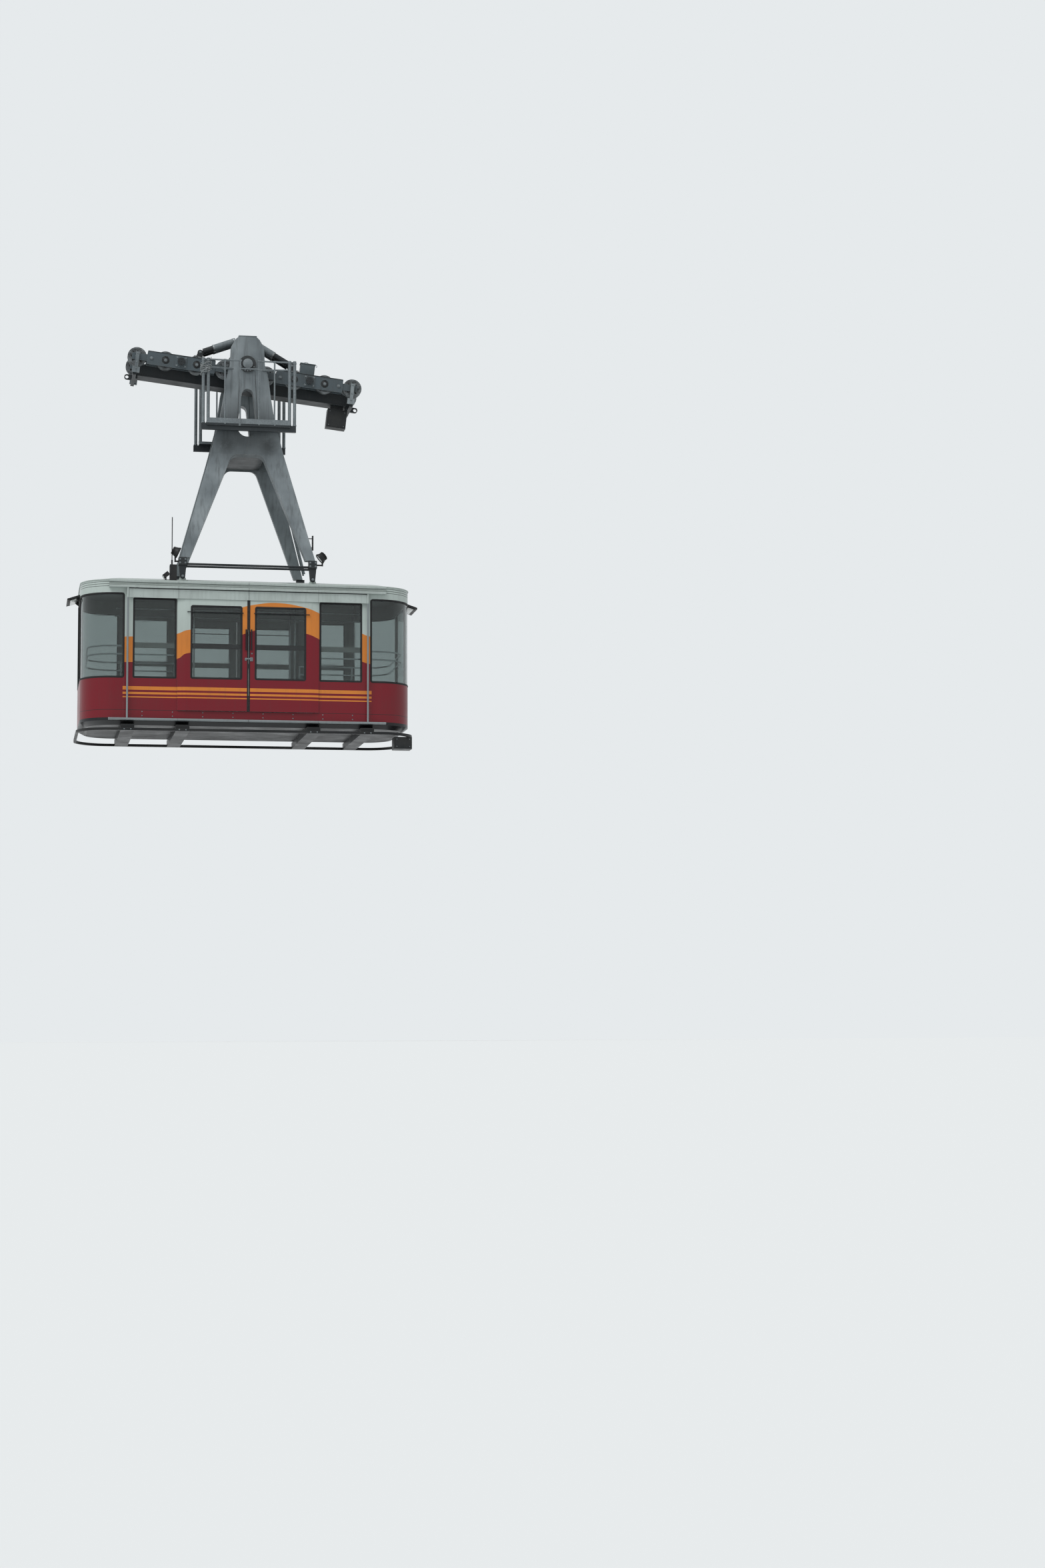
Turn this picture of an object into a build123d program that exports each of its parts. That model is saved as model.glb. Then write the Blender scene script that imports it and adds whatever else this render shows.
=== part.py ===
from build123d import *
import math
import os

# A passenger cabin of an aerial ropeway, with its hanger and its sixteen-wheel carriage.
# All sizes are in millimetres. +X runs along the cabin, downhill, +Y to the far side, +Z up.
# The origin lies midway between the two track ropes, at the ropes' centre height,
# straight below the pivot from which the hanger swings.

# Track ropes and the slope that the carriage stands on
ROPE_TILT = 6.23            # degrees, down towards +X
ROPE_D = 50
ROPE_Y = 350                # from the middle to each track rope
PIN_GAP = 0.8               # radial clearance of a turning fit
SEAT_GAP = 0.3              # clearance of a seated piece that isn't fused
RUN_GAP = 6                 # clearance beside a turning or sliding piece

# Carriage wheels
WHEEL_R = 165
WHEEL_W = 80
GROOVE_R = 145              # from the wheel's axis to the top of the rope
WHEEL_HUB_R = 52
WHEEL_DISH = 12             # how deep each face is dished between hub and rim
WHEEL_RIM = 30
WHEEL_LAND = 5              # flat at the groove's edges, and half the flat at its foot
AXLE_R = 28
WHEEL_N = GROOVE_R + ROPE_D / 2                 # axis height above the rope's centre

# Rocking bogies, four wheels each
BOGIE_U = 1125              # from the carriage's middle to each bogie pivot
WHEEL_OFFSETS = (-763, -270, 270, 763)          # wheel axes from the bogie pivot
BOGIE_PIVOT_RISE = 5         # pivot above the wheel axes
MAIN_HALF = 590             # half the length of the main side plate
MAIN_TOP = 115              # edges of the main side plate, from the pivot
MAIN_BOTTOM = -117
MAIN_CORNER = 14
AXLE_WINDOW_R = 70          # round hole in the plate at each inner axle
MAIN_T = 16
SUB_T = 10
SUB_HALF = 337              # half the length of the small two-wheel beam
SUB_H = 120
SUB_CORNER = 16
SUB_BOLT_R = 34             # pivot bolt of the small beam
SUB_BOLT_T = 10
AXLE_NUT_R = 36
STAY_R = 14                 # cross stays between the main plates
STAY_IN = 62                # stays' distance from the plate's end
STAY_DROP = 34              # stays' distance from the plate's top
HOUSING_W = 190             # square flange of the pivot housing
HOUSING_FLANGE_T = 12
HOUSING_R = 78
HOUSING_T = 30
BOGIE_PIN_R = 45
PIN_CAP_T = 24
PIN_CAP_R = 67

# Carriage girder
GIRDER_W = 340              # over the flanges
GIRDER_FLANGE_T = 14
GIRDER_FLANGE_OUT = 20      # how far the flanges stand out from the webs
GIRDER_BOTTOM = -108
GIRDER_TOP = 60             # top of the girder at its very end
GIRDER_HALF = 1840
GIRDER_SHOULDER = 290       # top of the girder along its flat stretch
GIRDER_FLAT = 200           # how far the flat stretch runs past each bogie pivot
HUMP_TOP_HALF = 150
HUMP_FOOT_HALF = 280
HUMP_TOP = 350
PIVOT_ABOVE_ROPE = 236
PIVOT_R = 80
CAP_GAP = 8                 # between the bearing ring and the shaft's cap
PIVOT_CAP_R = 92
PIVOT_CAP_T = 18

# Rope guides at the carriage's ends
YOKE_W = 90
YOKE_TOP = -75
YOKE_BOTTOM = -165
YOKE_FLANGE_T = 30
YOKE_FLANGE_TOP = 40
YOKE_FLANGE_IN = 20         # the flange's set-back from the girder's sides
ARM_T = 40
ARM_W = 60
ARM_TOP = 240
SHOE_W = 130                # the guide's shoe at the arm's foot
SHOE_TOP = -30
SHOE_BOTTOM = -125
HAUL_LUG_T = 50
HAUL_LUG_REACH = 130
HAUL_BORE = 60

# Boxes on the carriage, along the ropes, across them and above them
JUNCTION_U = (960, 1215)
JUNCTION_Y = (-160, -10)
JUNCTION_TOP = 545
SENSOR_U = (-310, 36)        # from the girder's downhill end
SENSOR_HALF = 100
SENSOR_N = (-500, -170)
SENSOR_NECK_U = (-260, -40)
SENSOR_NECK_HALF = 70

# Swing dampers
DAMPER_U = 806              # from the carriage's middle to each barrel's eye
DAMPER_RISE = 244           # eye above the pivot, square to the ropes
DAMPER_Y = 95
HEAD_PIN_X = 80             # from the hanger's middle to each rod's pin
HEAD_PIN_RISE = 592         # the rods' pins above the pivot, plumb
DAMPER_R = 52
DUST_R = 60                 # the dust tube that slides over the barrel
DUST_GAP = 2
DUST_LOW = 507              # from the rod's eye to the tube's open end
DUST_HIGH = 84              # from the rod's eye to the tube's closed end
DUST_CAP_T = 10
DUST_GROOVE = (150, 166)    # groove round the tube, from the rod's eye
DUST_GROOVE_DEPTH = 3
DAMPER_ROD_R = 28
DAMPER_EYE_R = 48
DAMPER_EYE_T = 40
DAMPER_NECK = 22            # half width of the neck behind each eye
BARREL_FOOT = 60            # from the barrel's eye to the barrel
DAMPER_LUG_T = 18
DAMPER_LUG_R = 40
DAMPER_LUG_GAP = 4
BRACKET_HALF = 85           # base plate of the bracket
BRACKET_T = 18
BRACKET_OUT = 150
CHEEK_FOOT = 60             # half width of a bracket's cheek at its foot
DAMPER_LENGTH = 504         # from the barrel's eye to its open end
DAMPER_BORE_FLOOR = 76      # from the barrel's eye to the bottom of its bore
DAMPER_ROD_L = 522          # from the rod's eye to its hidden end
DAMPER_SLACK = 26           # radial play of the rods' eyes about their pin
DAMPER_PIN_R = 16
ROD_EYE_RIM = 14

# Hanger
HANGER_Y = 730              # outer face of each hanger frame
HANGER_T = 180
TOWER_EDGE = ((146, 730), (205, 675), (282, 545), (300, 230), (365, -20), (405, -340), (465, -700))    # x and z
CROTCH_Z = -1355
CROTCH_HALF = 261
CROTCH_FILLET = 150
LEG_SPLAY = 9.2             # degrees, each leg leaning outwards in Y
LEG_T = 150
LEG_OVERLAP = 60             # how far the leg frame runs up into the tower
LEG_OUT_TOP = 617
LEG_OUT_FOOT = 1146
LEG_IN_FOOT = 1010
FOOT_Z = -3240
SLOT_TOP = -201
SLOT_TOP_R = 100
SLOT_BOTTOM = -1040
SLOT_BOTTOM_R = 170
RING_R = 145
RING_T = 22
SOFFIT_H = 260
SOFFIT_FOOT = 60             # how far the soffit runs past the crotch at its foot and top
SOFFIT_TOP = 100
HEAD_BOTTOM = 445            # the tube that joins the two frames under the dampers' pins
HEAD_H = 115
HEAD_HALF = 70
HEAD_CHEEK_R = 34
HEAD_CHEEKS = ((-185, -165), (-20, 20), (165, 185))     # cheeks' y ranges

# Feet that carry the cabin
FOOT_X = 1112
FOOT_Y = 975
FOOT_PIN_Z = -3565
FOOT_PIN_R = 24
FOOT_EYE_R = 44
LUG_R = 38
FOOT_EYE_T = 40
FOOT_EYE_GAP = 2
FOOT_CHEEK_HALF = 62
FOOT_PIN_OUT = 16
FOOT_CHEEK_T = 22
CLAMP_W = 140
CLAMP_H = 130
TIE_R = 19
TIE_GAP = 4                 # between the upper and the lower tie tube
TIE_UPPER_Z = -3345

# Ladder on the downhill far leg
LADDER_W = 180
LADDER_OFF = 55             # rails' distance from the leg's edge
LADDER_TOP = 300            # drop below the crotch
LADDER_FOOT = 1790
LADDER_RAIL_R = 16
LADDER_RUNGS = 6
LADDER_RUNG_R = 11
LADDER_STAY_R = 10
LADDER_STAY_IN = 120        # stays' distance from the rails' ends
LADDER_STAY_Y = (-50, 50)
LADDER_STAY_DEEP = 20       # how far a stay is drawn into the leg before it is cut to it

# Service platforms on both faces of the hanger
DECK_TOP = -830
DECK_T = 40
DECK_HALF = 718
DECK_OUT = 940
CURB_H = 128
CURB_T = 12
CURB_TOP = -780
CHANNEL_HALF = 815
CHANNEL_H = 110
CHANNEL_W = 60
POST_X = (-775, -690, 713, 800)
POST_TOP = 275
POST_R = 28
RAIL_POST_X = (-403, -140, 182, 453)
RAIL_POST_R = 14
RAIL_Z = 252
LOW_RAIL_Z = 111            # the dropped rail in front of the pivot
RAIL_Y = 896
DECK_STAYS = ((-690, -237, 118, 147), (713, 225, 118, 138))    # x at the post and the tower, z at each
DECK_STAY_R = 16

# Cabin body
CABIN_L = 5630
CABIN_W = 2330              # over the fixed walls
CABIN_R = 560               # plan radius of the corners
WALL_T = 45
HEADER_Z = -3820            # lower edge of the roof strip
ROOF_EDGE = HEADER_Z + 140
ROOF_RISE = 90
CROWN_IN = 350              # from the roof's edge to its flat crown
CROWN_R = 360
ROOF_LUG_FOOT = 90
WINDOW_TOP = HEADER_Z - 174
WINDOW_BOTTOM = HEADER_Z - 1513
CORNER_TOP = HEADER_Z - 95
FLOOR_TOP = HEADER_Z - 2090
FLOOR_T = 80
BODY_BOTTOM = HEADER_Z - 2320
SILL_BAND = HEADER_Z - 2070
TUCK = 110                  # how far the skirt draws in at the bottom
TUCK_Z = HEADER_Z - 2255
END_X = 2100                # where the fixed side walls end and the corner glass starts
SPLIT_MARGIN = 10
FIXED_WINDOW = (1230, 1933)
DOORWAY = 1100
END_MULLION_Y = 520
END_MULLION_W = 60
GLASS_T = 8
GLASS_IN = 12
MID_RAIL_TOP = HEADER_Z - 920
MID_RAIL_H = 90             # bar across each side window, behind the pane

# Sliding doors
DOOR_IN = 3
DOOR_OUT = 1200
DOOR_BEVEL = 130
DOOR_BEVEL_T = 18
DOOR_T = 34
DOOR_TOP = HEADER_Z - 160
DOOR_BOTTOM = HEADER_Z - 2070
DOOR_WINDOW = (122, 965)
DOOR_WINDOW_TOP = HEADER_Z - 284
DOOR_WINDOW_R = 20
HANDLE_X = 45
HANDLE_TOP = HEADER_Z - 670
HANDLE_BOTTOM = HEADER_Z - 1030
HANDLE_R = 13
HANDLE_OUT = 45
HANDLE_FOOT = 30
GUARD_Z = HEADER_Z - 390    # thin bar across the upper part of each leaf
GUARD_X = (90, 1040)
GUARD_R = 8
GUARD_OUT = 22
HANGER_PLATE_X = (200, 1000)  # the two roller plates on each leaf
ROLLER_R = 14
ROLLER_PLATE_HALF = 45
ROLLER_SPREAD = 28
ROLLER_IN = 11              # rollers' inner face from the wall
TRACK_WEB = 5
TRACK_OUT = 19              # running rail's outer edge from the wall
TRACK_TOP = HEADER_Z - 98
TRACK_T = 12

# Door tracks and guide pipes
STRIP_SHORT = 463           # from the cabin's end to the strip's end
STRIP_H = 130
STRIP_OVER = 97             # how far the strip stands out from the wall
STRIP_RECESS = 22
STRIP_LIP = 38
COVER_TOP = HEADER_Z - 40
COVER_H = 125
COVER_T = 14
PIPE_X = 2040
PIPE_R = 17
RAIL_BOTTOM_Z = HEADER_Z - 2233
RAIL_BRACKETS = (-2040, -700, 700, 2040)
RAIL_BRACKET_W = 40
RAIL_BRACKET_H = 24
RAIL_R = 22

# Underframe and bumper ring
BEAM_X = (-2030, -1110, 1110, 2030)
SILL_Y = (-700, 0, 700)
SILL_W = 80
SILL_SHORT = 300
BELLY_T = 30
BEAM_W = 230
RING_TUBE_R = 22
BUMPER_OVER = 103           # ring's centre line outside the side wall
BUMPER_OVER_END = 35        # and outside the end wall
BUMPER_R = 560
BUMPER_Z = HEADER_Z - 2409
CONTROL_IN = (320, 10)      # control box's ends, from the ring's centre line at the cabin's end
CONTROL_SIDE_IN = (268, 568)  # and its faces, from the centre line at the side
CONTROL_H = 208
CONTROL_CORNER = 18

# Inside
RAIL_TUBE_R = 16
RAIL_INSET = 70             # window rails' distance from the wall
WINDOW_RAIL_T = 24
POST_SOCKET = 25            # how deep the posts stand in the floor
END_POST_X = 2050
STANCHION_X = (-870, 870)
STANCHION_Y = 420
CEILING_RAIL_HALF = 2200
CEILING_STAY_X = (-2000, 0, 2000)
HANDRAIL_Z = (HEADER_Z - 970, HEADER_Z - 1110)
CEILING_RAIL_Z = HEADER_Z - 230
CEILING_STAY_R = 12

# Lamps, aerials and boxes
PANEL_WALL_Z = HEADER_Z - 2      # end lamp panels: top at the wall and at the outer edge
PANEL_EDGE_Z = HEADER_Z - 74
PANEL_REACH = 215           # from the end wall to the panels' outer edge
PANEL_T = 30
PANEL_HALF = 350
PANEL_BRACKET_Y = 250
PANEL_BRACKET_H = 110
PANEL_BRACKET_T = 12
FLOODLIGHTS = ((-1238, -3134, -65), (1281, -3157, 50))       # x, z, tip in degrees
FLOOD_R = 95
FLOOD_BACK_R = 60
FLOOD_L = 110
FLOOD_ARM_R = 14
ROOF_LAMP = (-1392, -950, -3541)
ROOF_LAMP_TIP = -40
ROOF_LAMP_SIZE = (110, 150, 60)
ROOF_LAMP_POLE_R = 12
ROOF_BOX = (-1327, -1208, -1000, -840, -3364)                # x, y and top
WHIP_PLACE = (-1285, -856)
WHIP_TOP = -2521
WHIP_R = 8
WHIP_BASE_R = 14
WHIP_BASE_H = 100
LEG_AERIAL = (1108, 1132, -930, -880, -3036, -2781)          # x, y and z ranges
LEG_AERIAL_STUBS = (-2990, -2830)

# Worked out from the above
PIVOT_Z = PIVOT_ABOVE_ROPE / math.cos(math.radians(ROPE_TILT))
CARRIAGE = Pos(0, 0, PIVOT_Z) * Rot(0, ROPE_TILT, 0) * Pos(0, 0, -PIVOT_ABOVE_ROPE)
BOGIE_N = WHEEL_N + BOGIE_PIVOT_RISE
SUB_IN = WHEEL_W / 2 + RUN_GAP                  # from a bogie's middle plane outwards
MAIN_IN = SUB_IN + SUB_T
MAIN_OUT = MAIN_IN + MAIN_T
HOUSING_OUT = MAIN_OUT + HOUSING_T
PIVOT_HALF = HANGER_Y + RING_T + CAP_GAP
WALL_OUT = CABIN_W / 2
DOOR_FACE_IN = WALL_OUT + RUN_GAP
DOOR_FACE_OUT = DOOR_FACE_IN + DOOR_T
COVER_IN = DOOR_FACE_OUT + RUN_GAP
STRIP_HALF = CABIN_L / 2 - STRIP_SHORT
BUMPER_Y = WALL_OUT + BUMPER_OVER
BUMPER_HALF = CABIN_L / 2 + BUMPER_OVER_END


def block(x0, x1, y0, y1, z0, z1):
    """A box between two corners."""
    size = Box(x1 - x0, y1 - y0, z1 - z0)
    return Pos((x0 + x1) / 2, (y0 + y1) / 2, (z0 + z1) / 2) * size


def round_y(x, z, y0, y1, radius):
    """A cylinder along Y."""
    return Pos(x, (y0 + y1) / 2, z) * Rot(90, 0, 0) * Cylinder(radius, abs(y1 - y0))


def round_z(x, y, z0, z1, radius):
    """An upright cylinder."""
    return Pos(x, y, (z0 + z1) / 2) * Cylinder(radius, z1 - z0)


def round_x(y, z, x0, x1, radius):
    """A cylinder along X."""
    return Pos((x0 + x1) / 2, y, z) * Rot(0, 90, 0) * Cylinder(radius, x1 - x0)


def bar(start, end, radius):
    """A round bar between two points."""
    way = Vector(*end) - Vector(*start)
    return extrude(Plane(origin=start, z_dir=way) * Circle(radius), way.length)


def slab(outline, y0, y1):
    """A flat outline in XZ given a thickness from y0 to y1."""
    front = Plane(origin=(0, y1, 0), x_dir=(1, 0, 0), z_dir=(0, -1, 0))
    return extrude(front * outline, y1 - y0)


def polygon(points):
    """A closed face through the points."""
    return make_face(Polyline(*points, close=True))


def far(shape):
    """The same piece on the far side."""
    return shape.mirror(Plane.XZ)


def left(shape):
    """The same piece on the uphill side."""
    return shape.mirror(Plane.YZ)


def pieces(*shapes):
    """Several solids kept as one sub-part."""
    solids = [s for shape in shapes for s in shape.solids()]
    return Compound(children=solids)


def ring_plan(length, width, radius, z):
    """Face of the cabin's rounded plan at a height."""
    return Pos(0, 0, z) * RectangleRounded(length, width, radius)


# Carriage

def wheel():
    """One grooved running wheel, its axis along Y at the origin."""
    half = WHEEL_W / 2
    rim_in = WHEEL_R - WHEEL_RIM
    outline = [(AXLE_R + PIN_GAP, -half), (WHEEL_HUB_R, -half), (WHEEL_HUB_R + WHEEL_DISH, WHEEL_DISH - half),
               (rim_in, WHEEL_DISH - half), (rim_in, -half), (WHEEL_R, -half), (WHEEL_R, WHEEL_LAND - half),
               (GROOVE_R, -WHEEL_LAND), (GROOVE_R, WHEEL_LAND), (WHEEL_R, half - WHEEL_LAND), (WHEEL_R, half), (rim_in, half),
               (rim_in, half - WHEEL_DISH), (WHEEL_HUB_R + WHEEL_DISH, half - WHEEL_DISH),
               (WHEEL_HUB_R, half), (AXLE_R + PIN_GAP, half)]
    return revolve(polygon([(r, y, 0) for r, y in outline]), Axis.Y)


def bogie():
    """One rocking bogie about its own pivot: main plates, two-wheel beams, axles and pivot housing."""
    drop = -BOGIE_PIVOT_RISE
    plate = Pos(0, (MAIN_TOP + MAIN_BOTTOM) / 2) * RectangleRounded(2 * MAIN_HALF, MAIN_TOP - MAIN_BOTTOM, MAIN_CORNER)
    for offset in WHEEL_OFFSETS[1:3]:
        plate -= Pos(offset, drop) * Circle(AXLE_WINDOW_R)
    sub_centre = (WHEEL_OFFSETS[2] + WHEEL_OFFSETS[3]) / 2
    shape = None
    for side in (-1, 1):
        def outward(start, end):
            return sorted((side * start, side * end))
        piece = slab(plate, *outward(MAIN_IN, MAIN_OUT))
        y0, y1 = outward(MAIN_OUT, MAIN_OUT + HOUSING_FLANGE_T)
        piece += block(-HOUSING_W / 2, HOUSING_W / 2, y0, y1, -HOUSING_W / 2, HOUSING_W / 2)
        piece += round_y(0, 0, *outward(MAIN_OUT, HOUSING_OUT), HOUSING_R)
        for centre in (-sub_centre, sub_centre):
            beam = Pos(centre, drop) * RectangleRounded(2 * SUB_HALF, SUB_H, SUB_CORNER)
            piece += slab(beam, *outward(SUB_IN, MAIN_IN))
            piece += round_y(centre, drop, *outward(MAIN_OUT, MAIN_OUT + SUB_BOLT_T), SUB_BOLT_R)
        for offset in WHEEL_OFFSETS:
            piece += round_y(offset, drop, *outward(MAIN_IN, MAIN_OUT), AXLE_NUT_R)
        shape = piece if shape is None else shape + piece
    for offset in WHEEL_OFFSETS:
        shape += round_y(offset, drop, -MAIN_IN, MAIN_IN, AXLE_R)
    for x in (-MAIN_HALF + STAY_IN, MAIN_HALF - STAY_IN):
        shape += round_y(x, MAIN_TOP - STAY_DROP, -MAIN_OUT, MAIN_OUT, STAY_R)
    bore = round_y(0, 0, -HOUSING_OUT - RUN_GAP, HOUSING_OUT + RUN_GAP, BOGIE_PIN_R + PIN_GAP)
    return shape - bore


def girder():
    """The box girder with its hump, its flanges and the bores for the three pins."""
    half = GIRDER_W / 2
    flat_end = BOGIE_U + GIRDER_FLAT
    right = [(GIRDER_HALF, GIRDER_BOTTOM), (GIRDER_HALF, GIRDER_TOP), (flat_end, GIRDER_SHOULDER),
             (HUMP_FOOT_HALF, GIRDER_SHOULDER), (HUMP_TOP_HALF, HUMP_TOP)]
    outline = polygon(right + [(-u, n) for u, n in reversed(right)])
    shape = slab(outline, -half + GIRDER_FLANGE_OUT, half - GIRDER_FLANGE_OUT)
    shape += block(-GIRDER_HALF, GIRDER_HALF, -half, half, GIRDER_BOTTOM, GIRDER_BOTTOM + GIRDER_FLANGE_T)
    for u0, u1 in ((-flat_end, -HUMP_FOOT_HALF), (HUMP_FOOT_HALF, flat_end)):
        shape += block(u0, u1, -half, half, GIRDER_SHOULDER - GIRDER_FLANGE_T, GIRDER_SHOULDER)
    for u, n, radius in ((0, PIVOT_ABOVE_ROPE, PIVOT_R), (-BOGIE_U, BOGIE_N, BOGIE_PIN_R), (BOGIE_U, BOGIE_N, BOGIE_PIN_R)):
        shape -= round_y(u, n, -GIRDER_W, GIRDER_W, radius + SEAT_GAP)
    return CARRIAGE * shape


def end_yoke():
    """The downhill cross yoke with the lug for the hauling rope, and its flange on the girder's end."""
    u0 = GIRDER_HALF + SEAT_GAP
    u1 = u0 + YOKE_W
    reach = ROPE_Y + MAIN_OUT + RUN_GAP - SEAT_GAP
    half = GIRDER_W / 2 - YOKE_FLANGE_IN
    flange = block(u0, u0 + YOKE_FLANGE_T, -half, half, YOKE_BOTTOM, YOKE_FLANGE_TOP)
    beam = block(u0 + YOKE_FLANGE_T + SEAT_GAP, u1, -reach, reach, YOKE_BOTTOM, YOKE_TOP)
    lug_n = (YOKE_BOTTOM + YOKE_TOP) / 2
    lug_r = (YOKE_TOP - YOKE_BOTTOM) / 2
    lug_u = u1 + HAUL_LUG_REACH - lug_r
    lug = polygon([(u1, lug_n - lug_r), (lug_u, lug_n - lug_r), (lug_u, lug_n + lug_r), (u1, lug_n + lug_r)])
    lug += Pos(lug_u, lug_n) * Circle(lug_r)
    lug -= Pos(lug_u, lug_n) * Circle(HAUL_BORE / 2)
    return pieces(flange, beam + slab(lug, -HAUL_LUG_T / 2, HAUL_LUG_T / 2))


def rope_guide():
    """The far downhill guide: an upright arm on the yoke's end with a wider shoe beside the rope."""
    y0 = ROPE_Y + MAIN_OUT + RUN_GAP
    u = GIRDER_HALF + SEAT_GAP + YOKE_W / 2
    shape = block(u - ARM_W / 2, u + ARM_W / 2, y0, y0 + ARM_T, SHOE_TOP, ARM_TOP)
    return shape + block(u - SHOE_W / 2, u + SHOE_W / 2, y0, y0 + ARM_T, SHOE_BOTTOM, SHOE_TOP)


def pivot_shaft():
    """The hanger's swing shaft across the carriage, with an end cap on each side."""
    shape = round_y(0, PIVOT_Z, -PIVOT_HALF, PIVOT_HALF, PIVOT_R)
    for side in (-1, 1):
        lo, hi = sorted((side * PIVOT_HALF, side * (PIVOT_HALF + PIVOT_CAP_T)))
        shape += round_y(0, PIVOT_Z, lo, hi, PIVOT_CAP_R)
    return shape


def bogie_pin(u):
    """The pin on which a near and a far bogie rock, with collars beside the girder and caps at its ends."""
    reach = ROPE_Y + HOUSING_OUT + RUN_GAP
    shape = round_y(u, BOGIE_N, -reach, reach, BOGIE_PIN_R)
    for side in (-1, 1):
        for start, end in ((GIRDER_W / 2 + SEAT_GAP, ROPE_Y - HOUSING_OUT - RUN_GAP), (reach, reach + PIN_CAP_T)):
            lo, hi = sorted((side * start, side * end))
            shape += round_y(u, BOGIE_N, lo, hi, PIN_CAP_R)
    return CARRIAGE * shape


def carriage_boxes():
    """The junction box on the girder and the tension sensor box hung below its downhill end."""
    junction = block(*JUNCTION_U, *JUNCTION_Y, GIRDER_SHOULDER + SEAT_GAP, JUNCTION_TOP)
    box = [GIRDER_HALF + u for u in SENSOR_U]
    neck = [GIRDER_HALF + u for u in SENSOR_NECK_U]
    sensor = block(*box, -SENSOR_HALF, SENSOR_HALF, *SENSOR_N)
    sensor += block(*neck, -SENSOR_NECK_HALF, SENSOR_NECK_HALF, SENSOR_N[1], GIRDER_BOTTOM - SEAT_GAP)
    return CARRIAGE * junction, CARRIAGE * sensor


def damper_points(side):
    """The carriage eye and the head pin of one damper, in XZ."""
    t = math.radians(ROPE_TILT)
    u = side * DAMPER_U
    eye = (u * math.cos(t) + DAMPER_RISE * math.sin(t), PIVOT_Z - u * math.sin(t) + DAMPER_RISE * math.cos(t))
    return eye, (side * HEAD_PIN_X, PIVOT_Z + HEAD_PIN_RISE)


def damper_bracket(side):
    """The bracket on the girder's top that carries both barrels' eyes on one side of the pivot."""
    u = side * DAMPER_U
    seat = GIRDER_SHOULDER + SEAT_GAP
    eye_n = PIVOT_ABOVE_ROPE + DAMPER_RISE
    shape = block(u - BRACKET_HALF, u + BRACKET_HALF, -BRACKET_OUT, BRACKET_OUT, seat, seat + BRACKET_T)
    cheek = polygon([(u - CHEEK_FOOT, seat + BRACKET_T), (u + CHEEK_FOOT, seat + BRACKET_T),
                     (u + DAMPER_LUG_R, eye_n), (u - DAMPER_LUG_R, eye_n)])
    cheek += Pos(u, eye_n) * Circle(DAMPER_LUG_R)
    near_cheek = DAMPER_Y - DAMPER_EYE_T / 2 - DAMPER_LUG_GAP - DAMPER_LUG_T
    far_cheek = DAMPER_Y + DAMPER_EYE_T / 2 + DAMPER_LUG_GAP
    for side_y in (-1, 1):
        for edge in (near_cheek, far_cheek):
            lo, hi = sorted((side_y * edge, side_y * (edge + DAMPER_LUG_T)))
            shape += slab(cheek, lo, hi)
        lo, hi = sorted((side_y * near_cheek, side_y * (far_cheek + DAMPER_LUG_T)))
        shape += round_y(u, eye_n, lo, hi, DAMPER_PIN_R)
    return CARRIAGE * shape


def damper(side):
    """Barrels and rods of the two dampers, near and far, on one side of the pivot."""
    eye, pin = damper_points(side)
    run = math.hypot(pin[0] - eye[0], pin[1] - eye[1])
    lean = math.degrees(math.atan2(pin[0] - eye[0], pin[1] - eye[1]))
    place = Pos(eye[0], 0, eye[1]) * Rot(0, lean, 0)
    bore_r = DAMPER_PIN_R + DAMPER_SLACK
    barrels = []
    rods = []
    for y in (-DAMPER_Y, DAMPER_Y):
        lo, hi = y - DAMPER_EYE_T / 2, y + DAMPER_EYE_T / 2
        barrel = round_y(0, 0, lo, hi, DAMPER_EYE_R)
        barrel += block(-DAMPER_NECK, DAMPER_NECK, lo, hi, DAMPER_PIN_R, BARREL_FOOT)
        barrel += round_z(0, y, BARREL_FOOT, DAMPER_LENGTH, DAMPER_R)
        barrel -= round_y(0, 0, lo - RUN_GAP, hi + RUN_GAP, DAMPER_PIN_R + PIN_GAP)
        barrel -= round_z(0, y, DAMPER_BORE_FLOOR, DAMPER_LENGTH + RUN_GAP, DAMPER_ROD_R + PIN_GAP)
        barrels.append(place * barrel)
        rod = round_z(0, y, run - DUST_LOW, run - DUST_HIGH, DUST_R)
        rod -= round_z(0, y, run - DUST_LOW - RUN_GAP, run - DUST_HIGH - DUST_CAP_T, DAMPER_R + DUST_GAP)
        groove = round_z(0, y, run - DUST_GROOVE[1], run - DUST_GROOVE[0], DUST_R + RUN_GAP)
        groove -= round_z(0, y, run - DUST_GROOVE[1], run - DUST_GROOVE[0], DUST_R - DUST_GROOVE_DEPTH)
        rod -= groove
        rod += round_z(0, y, run - DAMPER_ROD_L, run - DUST_HIGH, DAMPER_ROD_R)
        rod += block(-DAMPER_NECK, DAMPER_NECK, lo, hi, run - DUST_HIGH, run - DAMPER_PIN_R)
        rod += round_y(0, run, lo, hi, bore_r + ROD_EYE_RIM)
        rod -= round_y(0, run, lo - RUN_GAP, hi + RUN_GAP, bore_r)
        rods.append(place * rod)
    return pieces(*barrels), pieces(*rods)


# Hanger

def leg_out(drop):
    """Outer edge of a leg at a drop below the crotch."""
    slope = (LEG_OUT_FOOT - LEG_OUT_TOP) / (CROTCH_Z - FOOT_Z + LEG_OVERLAP)
    return LEG_OUT_TOP + slope * (drop + LEG_OVERLAP)


def tower_outline():
    """The upper frame's outline from the head down to the crotch."""
    right = [*TOWER_EDGE, (LEG_OUT_TOP, CROTCH_Z + LEG_OVERLAP), (leg_out(0), CROTCH_Z)]
    return polygon(right + [(-x, z) for x, z in reversed(right)])


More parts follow.
